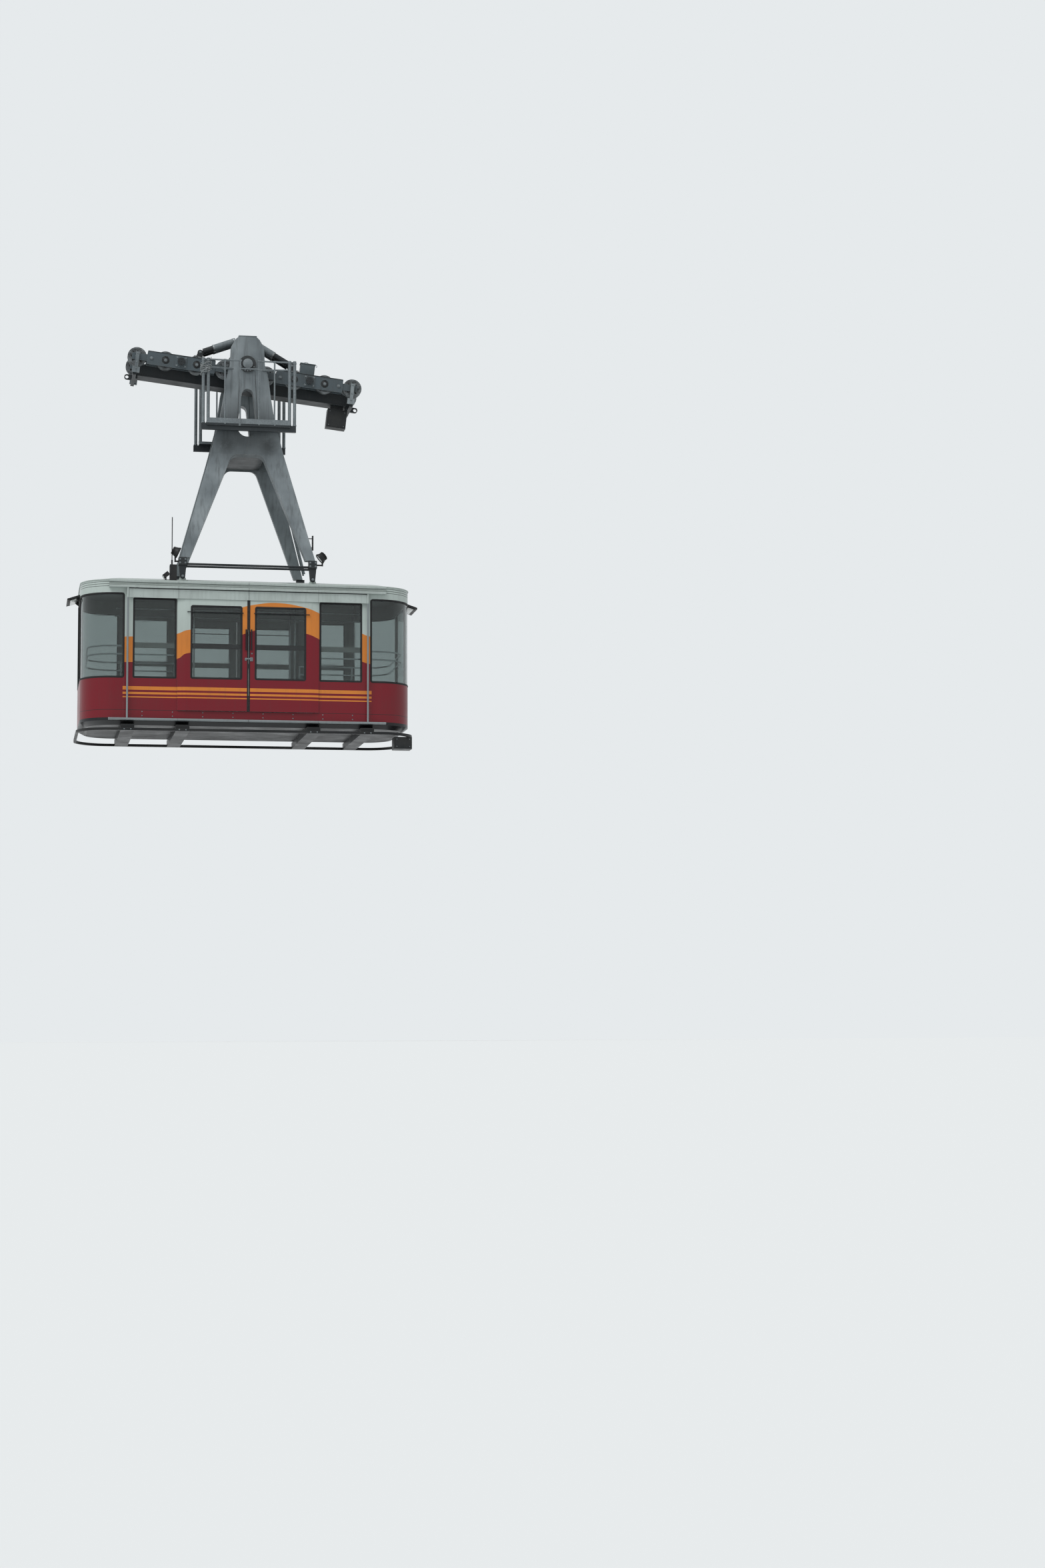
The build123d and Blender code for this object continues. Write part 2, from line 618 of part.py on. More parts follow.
def slot_outline():
    """The tall window in the upper frame, narrow at the top and round at the foot."""
    top = SLOT_TOP - SLOT_TOP_R
    foot = SLOT_BOTTOM + SLOT_BOTTOM_R
    shape = polygon([(-SLOT_TOP_R, top), (SLOT_TOP_R, top), (SLOT_BOTTOM_R, foot), (-SLOT_BOTTOM_R, foot)])
    shape += Pos(0, top) * Circle(SLOT_TOP_R)
    shape += Pos(0, foot) * Circle(SLOT_BOTTOM_R)
    return shape


def hanger_frame():
    """The near frame: tower with window and bearing ring, and two splayed legs."""
    tower = slab(tower_outline() - slot_outline(), -HANGER_Y, -HANGER_Y + HANGER_T)
    t = math.radians(LEG_SPLAY)
    plane = Plane(origin=(0, -HANGER_Y, CROTCH_Z), x_dir=(1, 0, 0), z_dir=(0, -math.cos(t), math.sin(t)))
    drop = (CROTCH_Z - FOOT_Z) / math.cos(t) + CLAMP_H / 3
    rise = LEG_OVERLAP / math.cos(t)
    right = [(LEG_OUT_TOP, rise), (leg_out(drop), -drop), (LEG_IN_FOOT, -drop), (CROTCH_HALF, 0)]
    legs = polygon(right + [(-x, z) for x, z in reversed(right)])
    crotch = [v for v in legs.vertices() if abs(abs(v.X) - CROTCH_HALF) < 1 and abs(v.Y) < 1]
    legs = fillet(crotch, CROTCH_FILLET)
    shape = tower + extrude(plane * legs, -LEG_T)
    shape -= block(-2 * FOOT_X, 2 * FOOT_X, -2 * HANGER_Y, 0, FOOT_Z - 2 * CLAMP_H, FOOT_Z)
    shape += round_y(0, PIVOT_Z, -HANGER_Y - RING_T, -HANGER_Y, RING_R)
    shape -= round_y(0, PIVOT_Z, -HANGER_Y - RING_T - 5, -HANGER_Y + HANGER_T + 5, PIVOT_R + PIN_GAP)
    return shape


def hanger_links():
    """The head tube with the cheeks and pins of the dampers' rods, and the soffit box over the crotch."""
    inner = HANGER_Y - HANGER_T
    pin_z = PIVOT_Z + HEAD_PIN_RISE
    head_top = HEAD_BOTTOM + HEAD_H
    head = block(-HEAD_HALF, HEAD_HALF, -inner, inner, HEAD_BOTTOM, head_top)
    cheek = polygon([(-HEAD_HALF, head_top), (HEAD_HALF, head_top),
                     (HEAD_PIN_X + HEAD_CHEEK_R, pin_z), (HEAD_PIN_X, pin_z + HEAD_CHEEK_R),
                     (-HEAD_PIN_X, pin_z + HEAD_CHEEK_R), (-HEAD_PIN_X - HEAD_CHEEK_R, pin_z)])
    for x in (-HEAD_PIN_X, HEAD_PIN_X):
        cheek += Pos(x, pin_z) * Circle(HEAD_CHEEK_R)
    for lo, hi in HEAD_CHEEKS:
        head += slab(cheek, lo, hi)
    for x in (-HEAD_PIN_X, HEAD_PIN_X):
        head += round_y(x, pin_z, HEAD_CHEEKS[0][0], HEAD_CHEEKS[-1][1], DAMPER_PIN_R)
    soffit = polygon([(-CROTCH_HALF - SOFFIT_FOOT, CROTCH_Z), (CROTCH_HALF + SOFFIT_FOOT, CROTCH_Z),
                      (CROTCH_HALF + SOFFIT_TOP, CROTCH_Z + SOFFIT_H), (-CROTCH_HALF - SOFFIT_TOP, CROTCH_Z + SOFFIT_H)])
    return pieces(head, slab(soffit, -inner, inner))


def foot(x, y):
    """Clamp block and two cheeks with the pin that carries the cabin's lug."""
    shape = block(x - CLAMP_W / 2, x + CLAMP_W / 2, y - CLAMP_W / 2, y + CLAMP_W / 2, FOOT_Z - CLAMP_H, FOOT_Z)
    inner = FOOT_EYE_T / 2 + FOOT_EYE_GAP
    outer = inner + FOOT_CHEEK_T
    cheek = polygon([(x - FOOT_CHEEK_HALF, FOOT_Z - CLAMP_H), (x + FOOT_CHEEK_HALF, FOOT_Z - CLAMP_H),
                     (x + FOOT_EYE_R, FOOT_PIN_Z), (x - FOOT_EYE_R, FOOT_PIN_Z)])
    cheek += Pos(x, FOOT_PIN_Z) * Circle(FOOT_EYE_R)
    for lo, hi in ((y - outer, y - inner), (y + inner, y + outer)):
        shape += slab(cheek, lo, hi)
    return shape + round_y(x, FOOT_PIN_Z, y - outer - FOOT_PIN_OUT, y + outer + FOOT_PIN_OUT, FOOT_PIN_R)


def hanger_feet():
    """Four feet and the tie tubes between them."""
    shapes = []
    for y in (-FOOT_Y, FOOT_Y):
        pair = foot(-FOOT_X, y) + foot(FOOT_X, y)
        for z in (TIE_UPPER_Z, TIE_UPPER_Z - 2 * TIE_R - TIE_GAP):
            pair += round_x(y, z, -FOOT_X, FOOT_X, TIE_R)
        shapes.append(pair)
    return pieces(*shapes)


def platform():
    """The near service platform with its curb, channel, posts, rails and stays to the tower."""
    channel_top = DECK_TOP - DECK_T
    channel_foot = channel_top - CHANNEL_H
    deck = block(-DECK_HALF, DECK_HALF, -DECK_OUT, -HANGER_Y, channel_top, DECK_TOP)
    deck += block(-DECK_HALF, DECK_HALF, -DECK_OUT - CURB_T, -DECK_OUT, CURB_TOP - CURB_H, CURB_TOP)
    deck += block(-CHANNEL_HALF, CHANNEL_HALF, -RAIL_Y - CHANNEL_W / 2, -RAIL_Y + CHANNEL_W / 2, channel_foot, channel_top)
    for x in POST_X:
        deck += round_z(x, -RAIL_Y, channel_foot, POST_TOP, POST_R)
    for x in RAIL_POST_X:
        deck += round_z(x, -RAIL_Y, channel_top, RAIL_Z, RAIL_POST_R)
    for x0, x1, z in ((POST_X[0], RAIL_POST_X[1], RAIL_Z), (RAIL_POST_X[2], POST_X[3], RAIL_Z),
                      (RAIL_POST_X[1], RAIL_POST_X[2], LOW_RAIL_Z)):
        deck += round_x(-RAIL_Y, z, x0, x1, RAIL_POST_R)
    tower = block(-DECK_HALF, DECK_HALF, -HANGER_Y - SEAT_GAP, 0, CROTCH_Z, TOWER_EDGE[0][1])
    for post_x, tower_x, post_z, tower_z in DECK_STAYS:
        stay = bar((post_x, -RAIL_Y, post_z), (tower_x, -HANGER_Y + DECK_STAY_R, tower_z), DECK_STAY_R)
        deck += stay - tower
    return deck


def ladder(frame):
    """The ladder on the outer edge of the downhill far leg, cut to sit on the frame."""
    t = math.radians(LEG_SPLAY)

    def at(drop, across, off):
        y = HANGER_Y + drop * math.tan(t) - LEG_T / 2 + across
        return (leg_out(drop) + off, y, CROTCH_Z - drop)
    shape = None
    for across in (-LADDER_W / 2, LADDER_W / 2):
        rail = bar(at(LADDER_TOP, across, LADDER_OFF), at(LADDER_FOOT, across, LADDER_OFF), LADDER_RAIL_R)
        shape = rail if shape is None else shape + rail
    for i in range(LADDER_RUNGS):
        drop = LADDER_TOP + (LADDER_FOOT - LADDER_TOP) * (i + 0.5) / LADDER_RUNGS
        shape += bar(at(drop, -LADDER_W / 2, LADDER_OFF), at(drop, LADDER_W / 2, LADDER_OFF), LADDER_RUNG_R)
    stays = None
    for drop in (LADDER_TOP + LADDER_STAY_IN, LADDER_FOOT - LADDER_STAY_IN):
        for across in LADDER_STAY_Y:
            stay = bar(at(drop, across, LADDER_OFF), at(drop, across, -LADDER_STAY_DEEP), LADDER_STAY_R)
            stays = stay if stays is None else stays + stay
        stays += bar(at(drop, -LADDER_W / 2, LADDER_OFF), at(drop, LADDER_W / 2, LADDER_OFF), LADDER_RUNG_R)
    return shape + (stays - frame)


# Cabin

def shell_wall(z0, z1):
    """The wall of the cabin's plan between two heights."""
    outer = extrude(ring_plan(CABIN_L, CABIN_W, CABIN_R, z0), z1 - z0)
    inner = extrude(ring_plan(CABIN_L - 2 * WALL_T, CABIN_W - 2 * WALL_T, CABIN_R - WALL_T, z0 - 1), z1 - z0 + 2)
    return outer - inner


def skirt():
    """The lowest part of the wall, drawn in towards the floor frame."""
    outer = loft([ring_plan(CABIN_L - 2 * TUCK, CABIN_W - 2 * TUCK, CABIN_R - TUCK / 2, BODY_BOTTOM),
                  ring_plan(CABIN_L, CABIN_W, CABIN_R, TUCK_Z)])
    cut = 2 * WALL_T
    inner = loft([ring_plan(CABIN_L - 2 * TUCK - cut, CABIN_W - 2 * TUCK - cut, CABIN_R - TUCK / 2 - WALL_T,
                            BODY_BOTTOM - 1),
                  ring_plan(CABIN_L - cut, CABIN_W - cut, CABIN_R - WALL_T, TUCK_Z + 1)])
    return outer - inner


def cabin_shell():
    """The whole wall from skirt to roof edge with every window and doorway cut, and the windows' middle bars."""
    wall = shell_wall(TUCK_Z, ROOF_EDGE) + skirt()
    big = CABIN_W
    bar_out = WALL_OUT - GLASS_IN - GLASS_T - SEAT_GAP
    for sx in (-1, 1):
        x0, x1 = sorted((sx * FIXED_WINDOW[0], sx * FIXED_WINDOW[1]))
        wall -= block(x0, x1, -big, big, WINDOW_BOTTOM, WINDOW_TOP)
        for y0, y1 in ((-bar_out, -WALL_OUT + WALL_T), (WALL_OUT - WALL_T, bar_out)):
            wall += block(x0, x1, y0, y1, MID_RAIL_TOP - MID_RAIL_H, MID_RAIL_TOP)
        for y0, y1 in ((-big, -END_MULLION_Y - END_MULLION_W / 2),
                       (END_MULLION_Y + END_MULLION_W / 2, big),
                       (-END_MULLION_Y + END_MULLION_W / 2, END_MULLION_Y - END_MULLION_W / 2)):
            x0, x1 = sorted((sx * END_X, sx * CABIN_L))
            wall -= block(x0, x1, y0, y1, WINDOW_BOTTOM, CORNER_TOP)
    wall -= block(-DOORWAY, DOORWAY, -big, big, SILL_BAND, WINDOW_TOP)
    return wall


def split_shell(wall):
    """The wall parted where the real panels meet: two sides and two ends."""
    low = BODY_BOTTOM - SPLIT_MARGIN
    high = ROOF_EDGE + SPLIT_MARGIN
    boxes = {"side_frame_near": (-END_X, END_X, -CABIN_W, 0), "side_frame_far": (-END_X, END_X, 0, CABIN_W),
             "end_wall_left": (-CABIN_L, -END_X, -CABIN_W, CABIN_W), "end_wall_right": (END_X, CABIN_L, -CABIN_W, CABIN_W)}
    return {name: wall & block(*corners, low, high) for name, corners in boxes.items()}


def cabin_roof():
    """The shallow roof with its four lifting lugs."""
    edge = ring_plan(CABIN_L, CABIN_W, CABIN_R, ROOF_EDGE)
    crown = ring_plan(CABIN_L - 2 * CROWN_IN, CABIN_W - 2 * CROWN_IN, CROWN_R, ROOF_EDGE + ROOF_RISE)
    shape = loft([edge, crown])
    for x in (-FOOT_X, FOOT_X):
        for y in (-FOOT_Y, FOOT_Y):
            lug = polygon([(x - ROOF_LUG_FOOT, ROOF_EDGE + SEAT_GAP), (x + ROOF_LUG_FOOT, ROOF_EDGE + SEAT_GAP),
                           (x + LUG_R, FOOT_PIN_Z), (x - LUG_R, FOOT_PIN_Z)])
            lug += Pos(x, FOOT_PIN_Z) * Circle(LUG_R)
            lug -= Pos(x, FOOT_PIN_Z) * Circle(FOOT_PIN_R + SEAT_GAP)
            shape += slab(lug, y - FOOT_EYE_T / 2, y + FOOT_EYE_T / 2)
    return shape


def cabin_glass():
    """The fixed panes: four side windows, four curved corners and two end windows."""
    out = GLASS_IN
    outer = extrude(ring_plan(CABIN_L - 2 * out, CABIN_W - 2 * out, CABIN_R - out, WINDOW_BOTTOM + SEAT_GAP),
                    CORNER_TOP - WINDOW_BOTTOM - 2 * SEAT_GAP)
    gone = out + GLASS_T
    inner = extrude(ring_plan(CABIN_L - 2 * gone, CABIN_W - 2 * gone, CABIN_R - gone, WINDOW_BOTTOM - 1),
                    CORNER_TOP - WINDOW_BOTTOM + 2)
    band = outer - inner
    big = CABIN_W
    g = SEAT_GAP
    panes = []
    for sx in (-1, 1):
        for sy in (-1, 1):
            x0, x1 = sorted((sx * (FIXED_WINDOW[0] + g), sx * (FIXED_WINDOW[1] - g)))
            y0, y1 = sorted((0, sy * big))
            panes.append(band & block(x0, x1, y0, y1, WINDOW_BOTTOM, WINDOW_TOP - g))
            x0, x1 = sorted((sx * (END_X + g), sx * CABIN_L))
            y0, y1 = sorted((sy * (END_MULLION_Y + END_MULLION_W / 2 + g), sy * big))
            panes.append(band & block(x0, x1, y0, y1, WINDOW_BOTTOM, CORNER_TOP))
        x0, x1 = sorted((sx * END_X, sx * CABIN_L))
        free = END_MULLION_Y - END_MULLION_W / 2 - g
        panes.append(band & block(x0, x1, -free, free, WINDOW_BOTTOM, CORNER_TOP))
    return pieces(*panes)


def door_leaf():
    """The near downhill leaf: window and middle bar, bevelled edge, handle, guard bar and roller plates."""
    y0, y1 = -DOOR_FACE_OUT, -DOOR_FACE_IN
    plan = polygon([(DOOR_IN, y0), (DOOR_OUT - DOOR_BEVEL, y0), (DOOR_OUT, y0 + DOOR_BEVEL_T), (DOOR_OUT, y1), (DOOR_IN, y1)])
    shape = extrude(Pos(0, 0, DOOR_BOTTOM) * plan, DOOR_TOP - DOOR_BOTTOM)
    window = Pos((DOOR_WINDOW[0] + DOOR_WINDOW[1]) / 2, (WINDOW_BOTTOM + DOOR_WINDOW_TOP) / 2)
    opening = window * RectangleRounded(DOOR_WINDOW[1] - DOOR_WINDOW[0], DOOR_WINDOW_TOP - WINDOW_BOTTOM, DOOR_WINDOW_R)
    shape -= slab(opening, y0 - RUN_GAP, y1 + RUN_GAP)
    bar_out = (y0 + y1) / 2 + GLASS_T / 2 + SEAT_GAP
    shape += block(DOOR_WINDOW[0], DOOR_WINDOW[1], bar_out, y1, MID_RAIL_TOP - MID_RAIL_H, MID_RAIL_TOP)
    out = y0 - HANDLE_OUT
    shape += round_z(HANDLE_X, out, HANDLE_BOTTOM, HANDLE_TOP, HANDLE_R)
    for z in (HANDLE_BOTTOM + HANDLE_FOOT, HANDLE_TOP - HANDLE_FOOT):
        shape += round_y(HANDLE_X, z, out, y0, HANDLE_R - 2)
    shape += round_x(y0 - GUARD_OUT, GUARD_Z, GUARD_X[0], GUARD_X[1], GUARD_R)
    for x in (GUARD_X[0] + GUARD_R, GUARD_X[1] - GUARD_R):
        shape += round_y(x, GUARD_Z, y0 - GUARD_OUT, y0, GUARD_R - 1)
    roller_z = TRACK_TOP + SEAT_GAP + ROLLER_R
    plate_in = WALL_OUT + TRACK_OUT + RUN_GAP
    for x in HANGER_PLATE_X:
        shape += block(x - ROLLER_PLATE_HALF, x + ROLLER_PLATE_HALF, y0, -plate_in, DOOR_TOP, roller_z + ROLLER_R)
        for roller_x in (x - ROLLER_SPREAD, x + ROLLER_SPREAD):
            shape += round_y(roller_x, roller_z, -plate_in, -WALL_OUT - ROLLER_IN, ROLLER_R)
    return shape


def door_pane():
    """The near downhill leaf's glass, in its rebate."""
    middle = -(DOOR_FACE_OUT + DOOR_FACE_IN) / 2
    width = DOOR_WINDOW[1] - DOOR_WINDOW[0] - 2 * SEAT_GAP
    height = DOOR_WINDOW_TOP - WINDOW_BOTTOM - 2 * SEAT_GAP
    window = Pos((DOOR_WINDOW[0] + DOOR_WINDOW[1]) / 2, (WINDOW_BOTTOM + DOOR_WINDOW_TOP) / 2)
    return slab(window * RectangleRounded(width, height, DOOR_WINDOW_R), middle - GLASS_T / 2, middle + GLASS_T / 2)


def door_track():
    """The near side's roof strip, track cover, bottom rail and guide pipes."""
    strip_out = WALL_OUT + STRIP_OVER
    top = HEADER_Z + STRIP_H
    strip = block(-STRIP_HALF, STRIP_HALF, -strip_out, -WALL_OUT, HEADER_Z, top)
    strip -= block(-STRIP_HALF - RUN_GAP, STRIP_HALF + RUN_GAP, -strip_out - RUN_GAP, -strip_out + STRIP_RECESS,
                   HEADER_Z + STRIP_LIP, top - STRIP_LIP)
    cover = block(-PIPE_X, PIPE_X, -COVER_IN - COVER_T, -COVER_IN, COVER_TOP - COVER_H, HEADER_Z)
    shape = strip + cover
    shape += block(-PIPE_X, PIPE_X, -WALL_OUT - TRACK_WEB, -WALL_OUT, TRACK_TOP - TRACK_T, HEADER_Z)
    shape += block(-PIPE_X, PIPE_X, -WALL_OUT - TRACK_OUT, -WALL_OUT, TRACK_TOP - TRACK_T, TRACK_TOP)
    y = -COVER_IN - RAIL_R
    shape += round_x(y, RAIL_BOTTOM_Z, -STRIP_HALF, STRIP_HALF, RAIL_R)
    for x in (-PIPE_X, PIPE_X):
        shape += round_z(x, y, RAIL_BOTTOM_Z, HEADER_Z, PIPE_R)
    for x in RAIL_BRACKETS:
        shape += block(x - RAIL_BRACKET_W / 2, x + RAIL_BRACKET_W / 2, y, -WALL_OUT,
                       RAIL_BOTTOM_Z - RAIL_BRACKET_H / 2, RAIL_BOTTOM_Z + RAIL_BRACKET_H / 2)
    return shape


def cabin_floor():
    """The floor plate with the sockets that its posts stand in."""
    plan = ring_plan(CABIN_L - 2 * WALL_T, CABIN_W - 2 * WALL_T, CABIN_R - WALL_T, FLOOR_TOP - FLOOR_T)
    plate = extrude(plan, FLOOR_T)
    for x, y in post_places():
        plate -= round_z(x, y, FLOOR_TOP - POST_SOCKET - SEAT_GAP, FLOOR_TOP + RUN_GAP, RAIL_TUBE_R + SEAT_GAP)
    return plate


def underframe():
    """The longitudinal sills on the belly plate."""
    inset = TUCK + WALL_T + SEAT_GAP
    belly = extrude(ring_plan(CABIN_L - 2 * inset, CABIN_W - 2 * inset, CABIN_R - inset / 2, BODY_BOTTOM), BELLY_T)
    sill_half = CABIN_L / 2 - SILL_SHORT
    for y in SILL_Y:
        belly += block(-sill_half, sill_half, y - SILL_W / 2, y + SILL_W / 2, BODY_BOTTOM + BELLY_T, FLOOR_TOP - FLOOR_T)
    return belly


def cross_beams():
    """The four beams under the belly that carry the bumper ring."""
    reach = BUMPER_Y - RING_TUBE_R - SEAT_GAP
    low = BUMPER_Z - RING_TUBE_R
    return pieces(*[block(x - BEAM_W / 2, x + BEAM_W / 2, -reach, reach, low, BODY_BOTTOM - SEAT_GAP) for x in BEAM_X])


def control_box():
    """The door control's box, hung from the ring's near downhill corner."""
    top = BUMPER_Z - RING_TUBE_R - SEAT_GAP
    x0, x1 = [BUMPER_HALF - way for way in CONTROL_IN]
    y0, y1 = [way - BUMPER_Y for way in CONTROL_SIDE_IN]
    shape = Pos((x0 + x1) / 2, (y0 + y1) / 2, top - CONTROL_H / 2) * Box(x1 - x0, y1 - y0, CONTROL_H)
    return fillet(shape.edges().filter_by(Axis.Z), CONTROL_CORNER)


def bumper_ring():
    """The tube ring around the cabin's foot."""
    tube = 2 * RING_TUBE_R
    outer = ring_plan(2 * BUMPER_HALF + tube, 2 * BUMPER_Y + tube, BUMPER_R + RING_TUBE_R, BUMPER_Z - RING_TUBE_R)
    inner = ring_plan(2 * BUMPER_HALF - tube, 2 * BUMPER_Y - tube, BUMPER_R - RING_TUBE_R, BUMPER_Z - RING_TUBE_R)
    ring = extrude(outer - inner, tube)
    return ring


def post_places():
    """Where the upright posts stand inside the cabin."""
    y = WALL_OUT - WALL_T - RAIL_INSET - WINDOW_RAIL_T / 2
    by_windows = [(sx * x, sy * y) for sx in (-1, 1) for sy in (-1, 1) for x in (DOORWAY + WINDOW_RAIL_T / 2, END_POST_X)]
    return by_windows + [(x, sy * STANCHION_Y) for x in STANCHION_X for sy in (-1, 1)]


def handrails():
    """Window rails, stanchions and ceiling rails inside the cabin."""
    inset = WALL_T + RAIL_INSET
    thick = WINDOW_RAIL_T
    foot_z = FLOOR_TOP - POST_SOCKET
    rings = None
    for z in HANDRAIL_Z:
        low = z - thick / 2
        outer = ring_plan(CABIN_L - 2 * inset, CABIN_W - 2 * inset, CABIN_R - inset, low)
        inner = ring_plan(CABIN_L - 2 * inset - 2 * thick, CABIN_W - 2 * inset - 2 * thick, CABIN_R - inset - thick, low)
        ring = extrude(outer - inner, thick)
        ring -= block(-DOORWAY, DOORWAY, -CABIN_W, CABIN_W, z - thick, z + thick)
        rings = ring if rings is None else rings + ring
    rails = {y: round_x(y, CEILING_RAIL_Z, -CEILING_RAIL_HALF, CEILING_RAIL_HALF, RAIL_TUBE_R)
             for y in (-STANCHION_Y, STANCHION_Y)}
    for x, y in post_places():
        if y in rails:
            rails[y] += round_z(x, y, foot_z, ROOF_EDGE, RAIL_TUBE_R)
        else:
            rings += round_z(x, y, foot_z, HANDRAIL_Z[0] + thick / 2, RAIL_TUBE_R)
    for y in rails:
        for x in CEILING_STAY_X:
            rails[y] += round_z(x, y, CEILING_RAIL_Z, ROOF_EDGE, CEILING_STAY_R)
    return pieces(rings, *rails.values())


def end_lamps():
    """A thin lamp panel high on each end, tipped down, on two brackets."""
    wall = CABIN_L / 2 + SEAT_GAP
    edge = CABIN_L / 2 + PANEL_REACH
    panel = polygon([(wall, PANEL_WALL_Z), (edge, PANEL_EDGE_Z), (edge, PANEL_EDGE_Z - PANEL_T),
                     (wall, PANEL_WALL_Z - PANEL_T)])
    bracket = polygon([(wall, PANEL_WALL_Z), ((wall + edge) / 2, (PANEL_WALL_Z + PANEL_EDGE_Z) / 2),
                       (wall, PANEL_WALL_Z - PANEL_BRACKET_H)])
    shape = slab(panel, -PANEL_HALF, PANEL_HALF)
    for y in (-PANEL_BRACKET_Y, PANEL_BRACKET_Y):
        shape += slab(bracket, y - PANEL_BRACKET_T / 2, y + PANEL_BRACKET_T / 2)
    return [shape, left(shape)]


def floodlights(roof):
    """Two round floodlights beside the near feet and a small lamp on the roof."""
    shapes = []
    for x, z, tip in FLOODLIGHTS:
        face = math.copysign(FOOT_X + CLAMP_W / 2 + SEAT_GAP, x)
        lo, hi = sorted((face, x))
        body = Pos(x, -FOOT_Y, z) * Rot(0, tip, 0) * Cone(FLOOD_R, FLOOD_BACK_R, FLOOD_L)
        arm_z = FOOT_Z - CLAMP_H / 2
        arm = round_z(x, -FOOT_Y, arm_z - FLOOD_ARM_R, z, FLOOD_ARM_R) + round_x(-FOOT_Y, arm_z, lo, hi, FLOOD_ARM_R)
        shapes.append(body + arm)
    x, y, z = ROOF_LAMP
    small = Pos(x, y, z) * Rot(0, ROOF_LAMP_TIP, 0) * Box(*ROOF_LAMP_SIZE)
    small += round_z(x, y, ROOF_EDGE, z, ROOF_LAMP_POLE_R)
    shapes.append(small - roof)
    return shapes


def equipment(roof, frame):
    """The roof box with the whip aerial, and the flat aerial on the near downhill leg."""
    x0, x1, y0, y1, top = ROOF_BOX
    box = block(x0, x1, y0, y1, ROOF_EDGE, top) - roof
    x, y = WHIP_PLACE
    box += round_z(x, y, top, WHIP_TOP, WHIP_R) + round_z(x, y, top, top + WHIP_BASE_H, WHIP_BASE_R)
    x0, x1, y0, y1, z0, z1 = LEG_AERIAL
    aerial = block(x0, x1, y0, y1, z0, z1)
    for z in LEG_AERIAL_STUBS:
        aerial += round_x((y0 + y1) / 2, z, FOOT_X - LEG_T, x0, WHIP_R) - frame
    return [box, aerial]


SUBPARTS = {}


def keep(name, shape):
    """Store one sub-part under its name."""
    shape.label = name
    SUBPARTS[name] = shape


def build():
    """Make every sub-part."""
    keep("carriage_girder", girder())
    keep("pivot_pins", pieces(pivot_shaft(), bogie_pin(-BOGIE_U), bogie_pin(BOGIE_U)))
    keep("end_yokes", pieces(CARRIAGE * end_yoke(), CARRIAGE * left(end_yoke())))
    guide = rope_guide()
    keep("rope_guides", pieces(*[CARRIAGE * g for g in (guide, left(guide), far(guide), left(far(guide)))]))
    keep("damper_brackets", pieces(damper_bracket(-1), damper_bracket(1)))
    keep("carriage_boxes", pieces(*carriage_boxes()))
    one_bogie = bogie()
    one_wheel = wheel()
    for side, y in (("near", -ROPE_Y), ("far", ROPE_Y)):
        for end, u in (("left", -BOGIE_U), ("right", BOGIE_U)):
            keep(f"bogie_{side}_{end}", CARRIAGE * Pos(u, y, BOGIE_N) * one_bogie)
            for i, offset in enumerate(WHEEL_OFFSETS):
                keep(f"wheel_{side}_{end}_{i + 1}", CARRIAGE * Pos(u + offset, y, WHEEL_N) * one_wheel)
    for end, side in (("left", -1), ("right", 1)):
        barrels, rods = damper(side)
        keep(f"damper_barrels_{end}", barrels)
        keep(f"damper_rods_{end}", rods)
    near_frame = hanger_frame()
    keep("hanger_frame_near", near_frame)
    keep("hanger_frame_far", far(near_frame))
    keep("hanger_links", hanger_links())
    keep("hanger_feet", hanger_feet())
    keep("platforms", pieces(platform(), far(platform())))
    keep("ladder", ladder(SUBPARTS["hanger_frame_far"]))
    for name, shape in split_shell(cabin_shell()).items():
        keep(name, shape)
    roof = cabin_roof()
    keep("cabin_roof", roof)
    keep("roof_equipment", pieces(*equipment(roof, near_frame)))
    keep("lamps", pieces(*floodlights(roof), *end_lamps()))
    keep("cabin_floor", cabin_floor())
    keep("underframe", underframe())
    keep("cross_beams", cross_beams())
    keep("bumper_ring", bumper_ring())
    keep("control_box", control_box())
    keep("cabin_glass", cabin_glass())
    keep("handrails", handrails())
    leaf = door_leaf()
    pane = door_pane()
    for name, shape in (("door", leaf), ("door_glass", pane)):
        keep(f"{name}_near_right", shape)
        keep(f"{name}_near_left", left(shape))
        keep(f"{name}_far_right", far(shape))
        keep(f"{name}_far_left", left(far(shape)))
    keep("door_tracks", pieces(door_track(), far(door_track())))


build()
os.makedirs("parts", exist_ok=True)
for name, shape in SUBPARTS.items():
    export_step(shape, f"parts/{name}.step")
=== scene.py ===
# %% [markdown]
# A cable car cabin, dressed for its picture
#
# The cabin, its hanger and its sixteen-wheel carriage come in as finished solids, each in its own place.
# Here they get paint, rubber, glass and steel, and the small things that a fitter would screw on at the end:
# gaskets, seals, bolts, rivets, lamp lenses and boxes' lids. Every new piece is a surface worked out by a
# formula on a grid of two parameters, because that is exact, quick and easy to read again later.

import math

import bmesh
import bpy
import numpy as np
from mathutils import Matrix, Vector


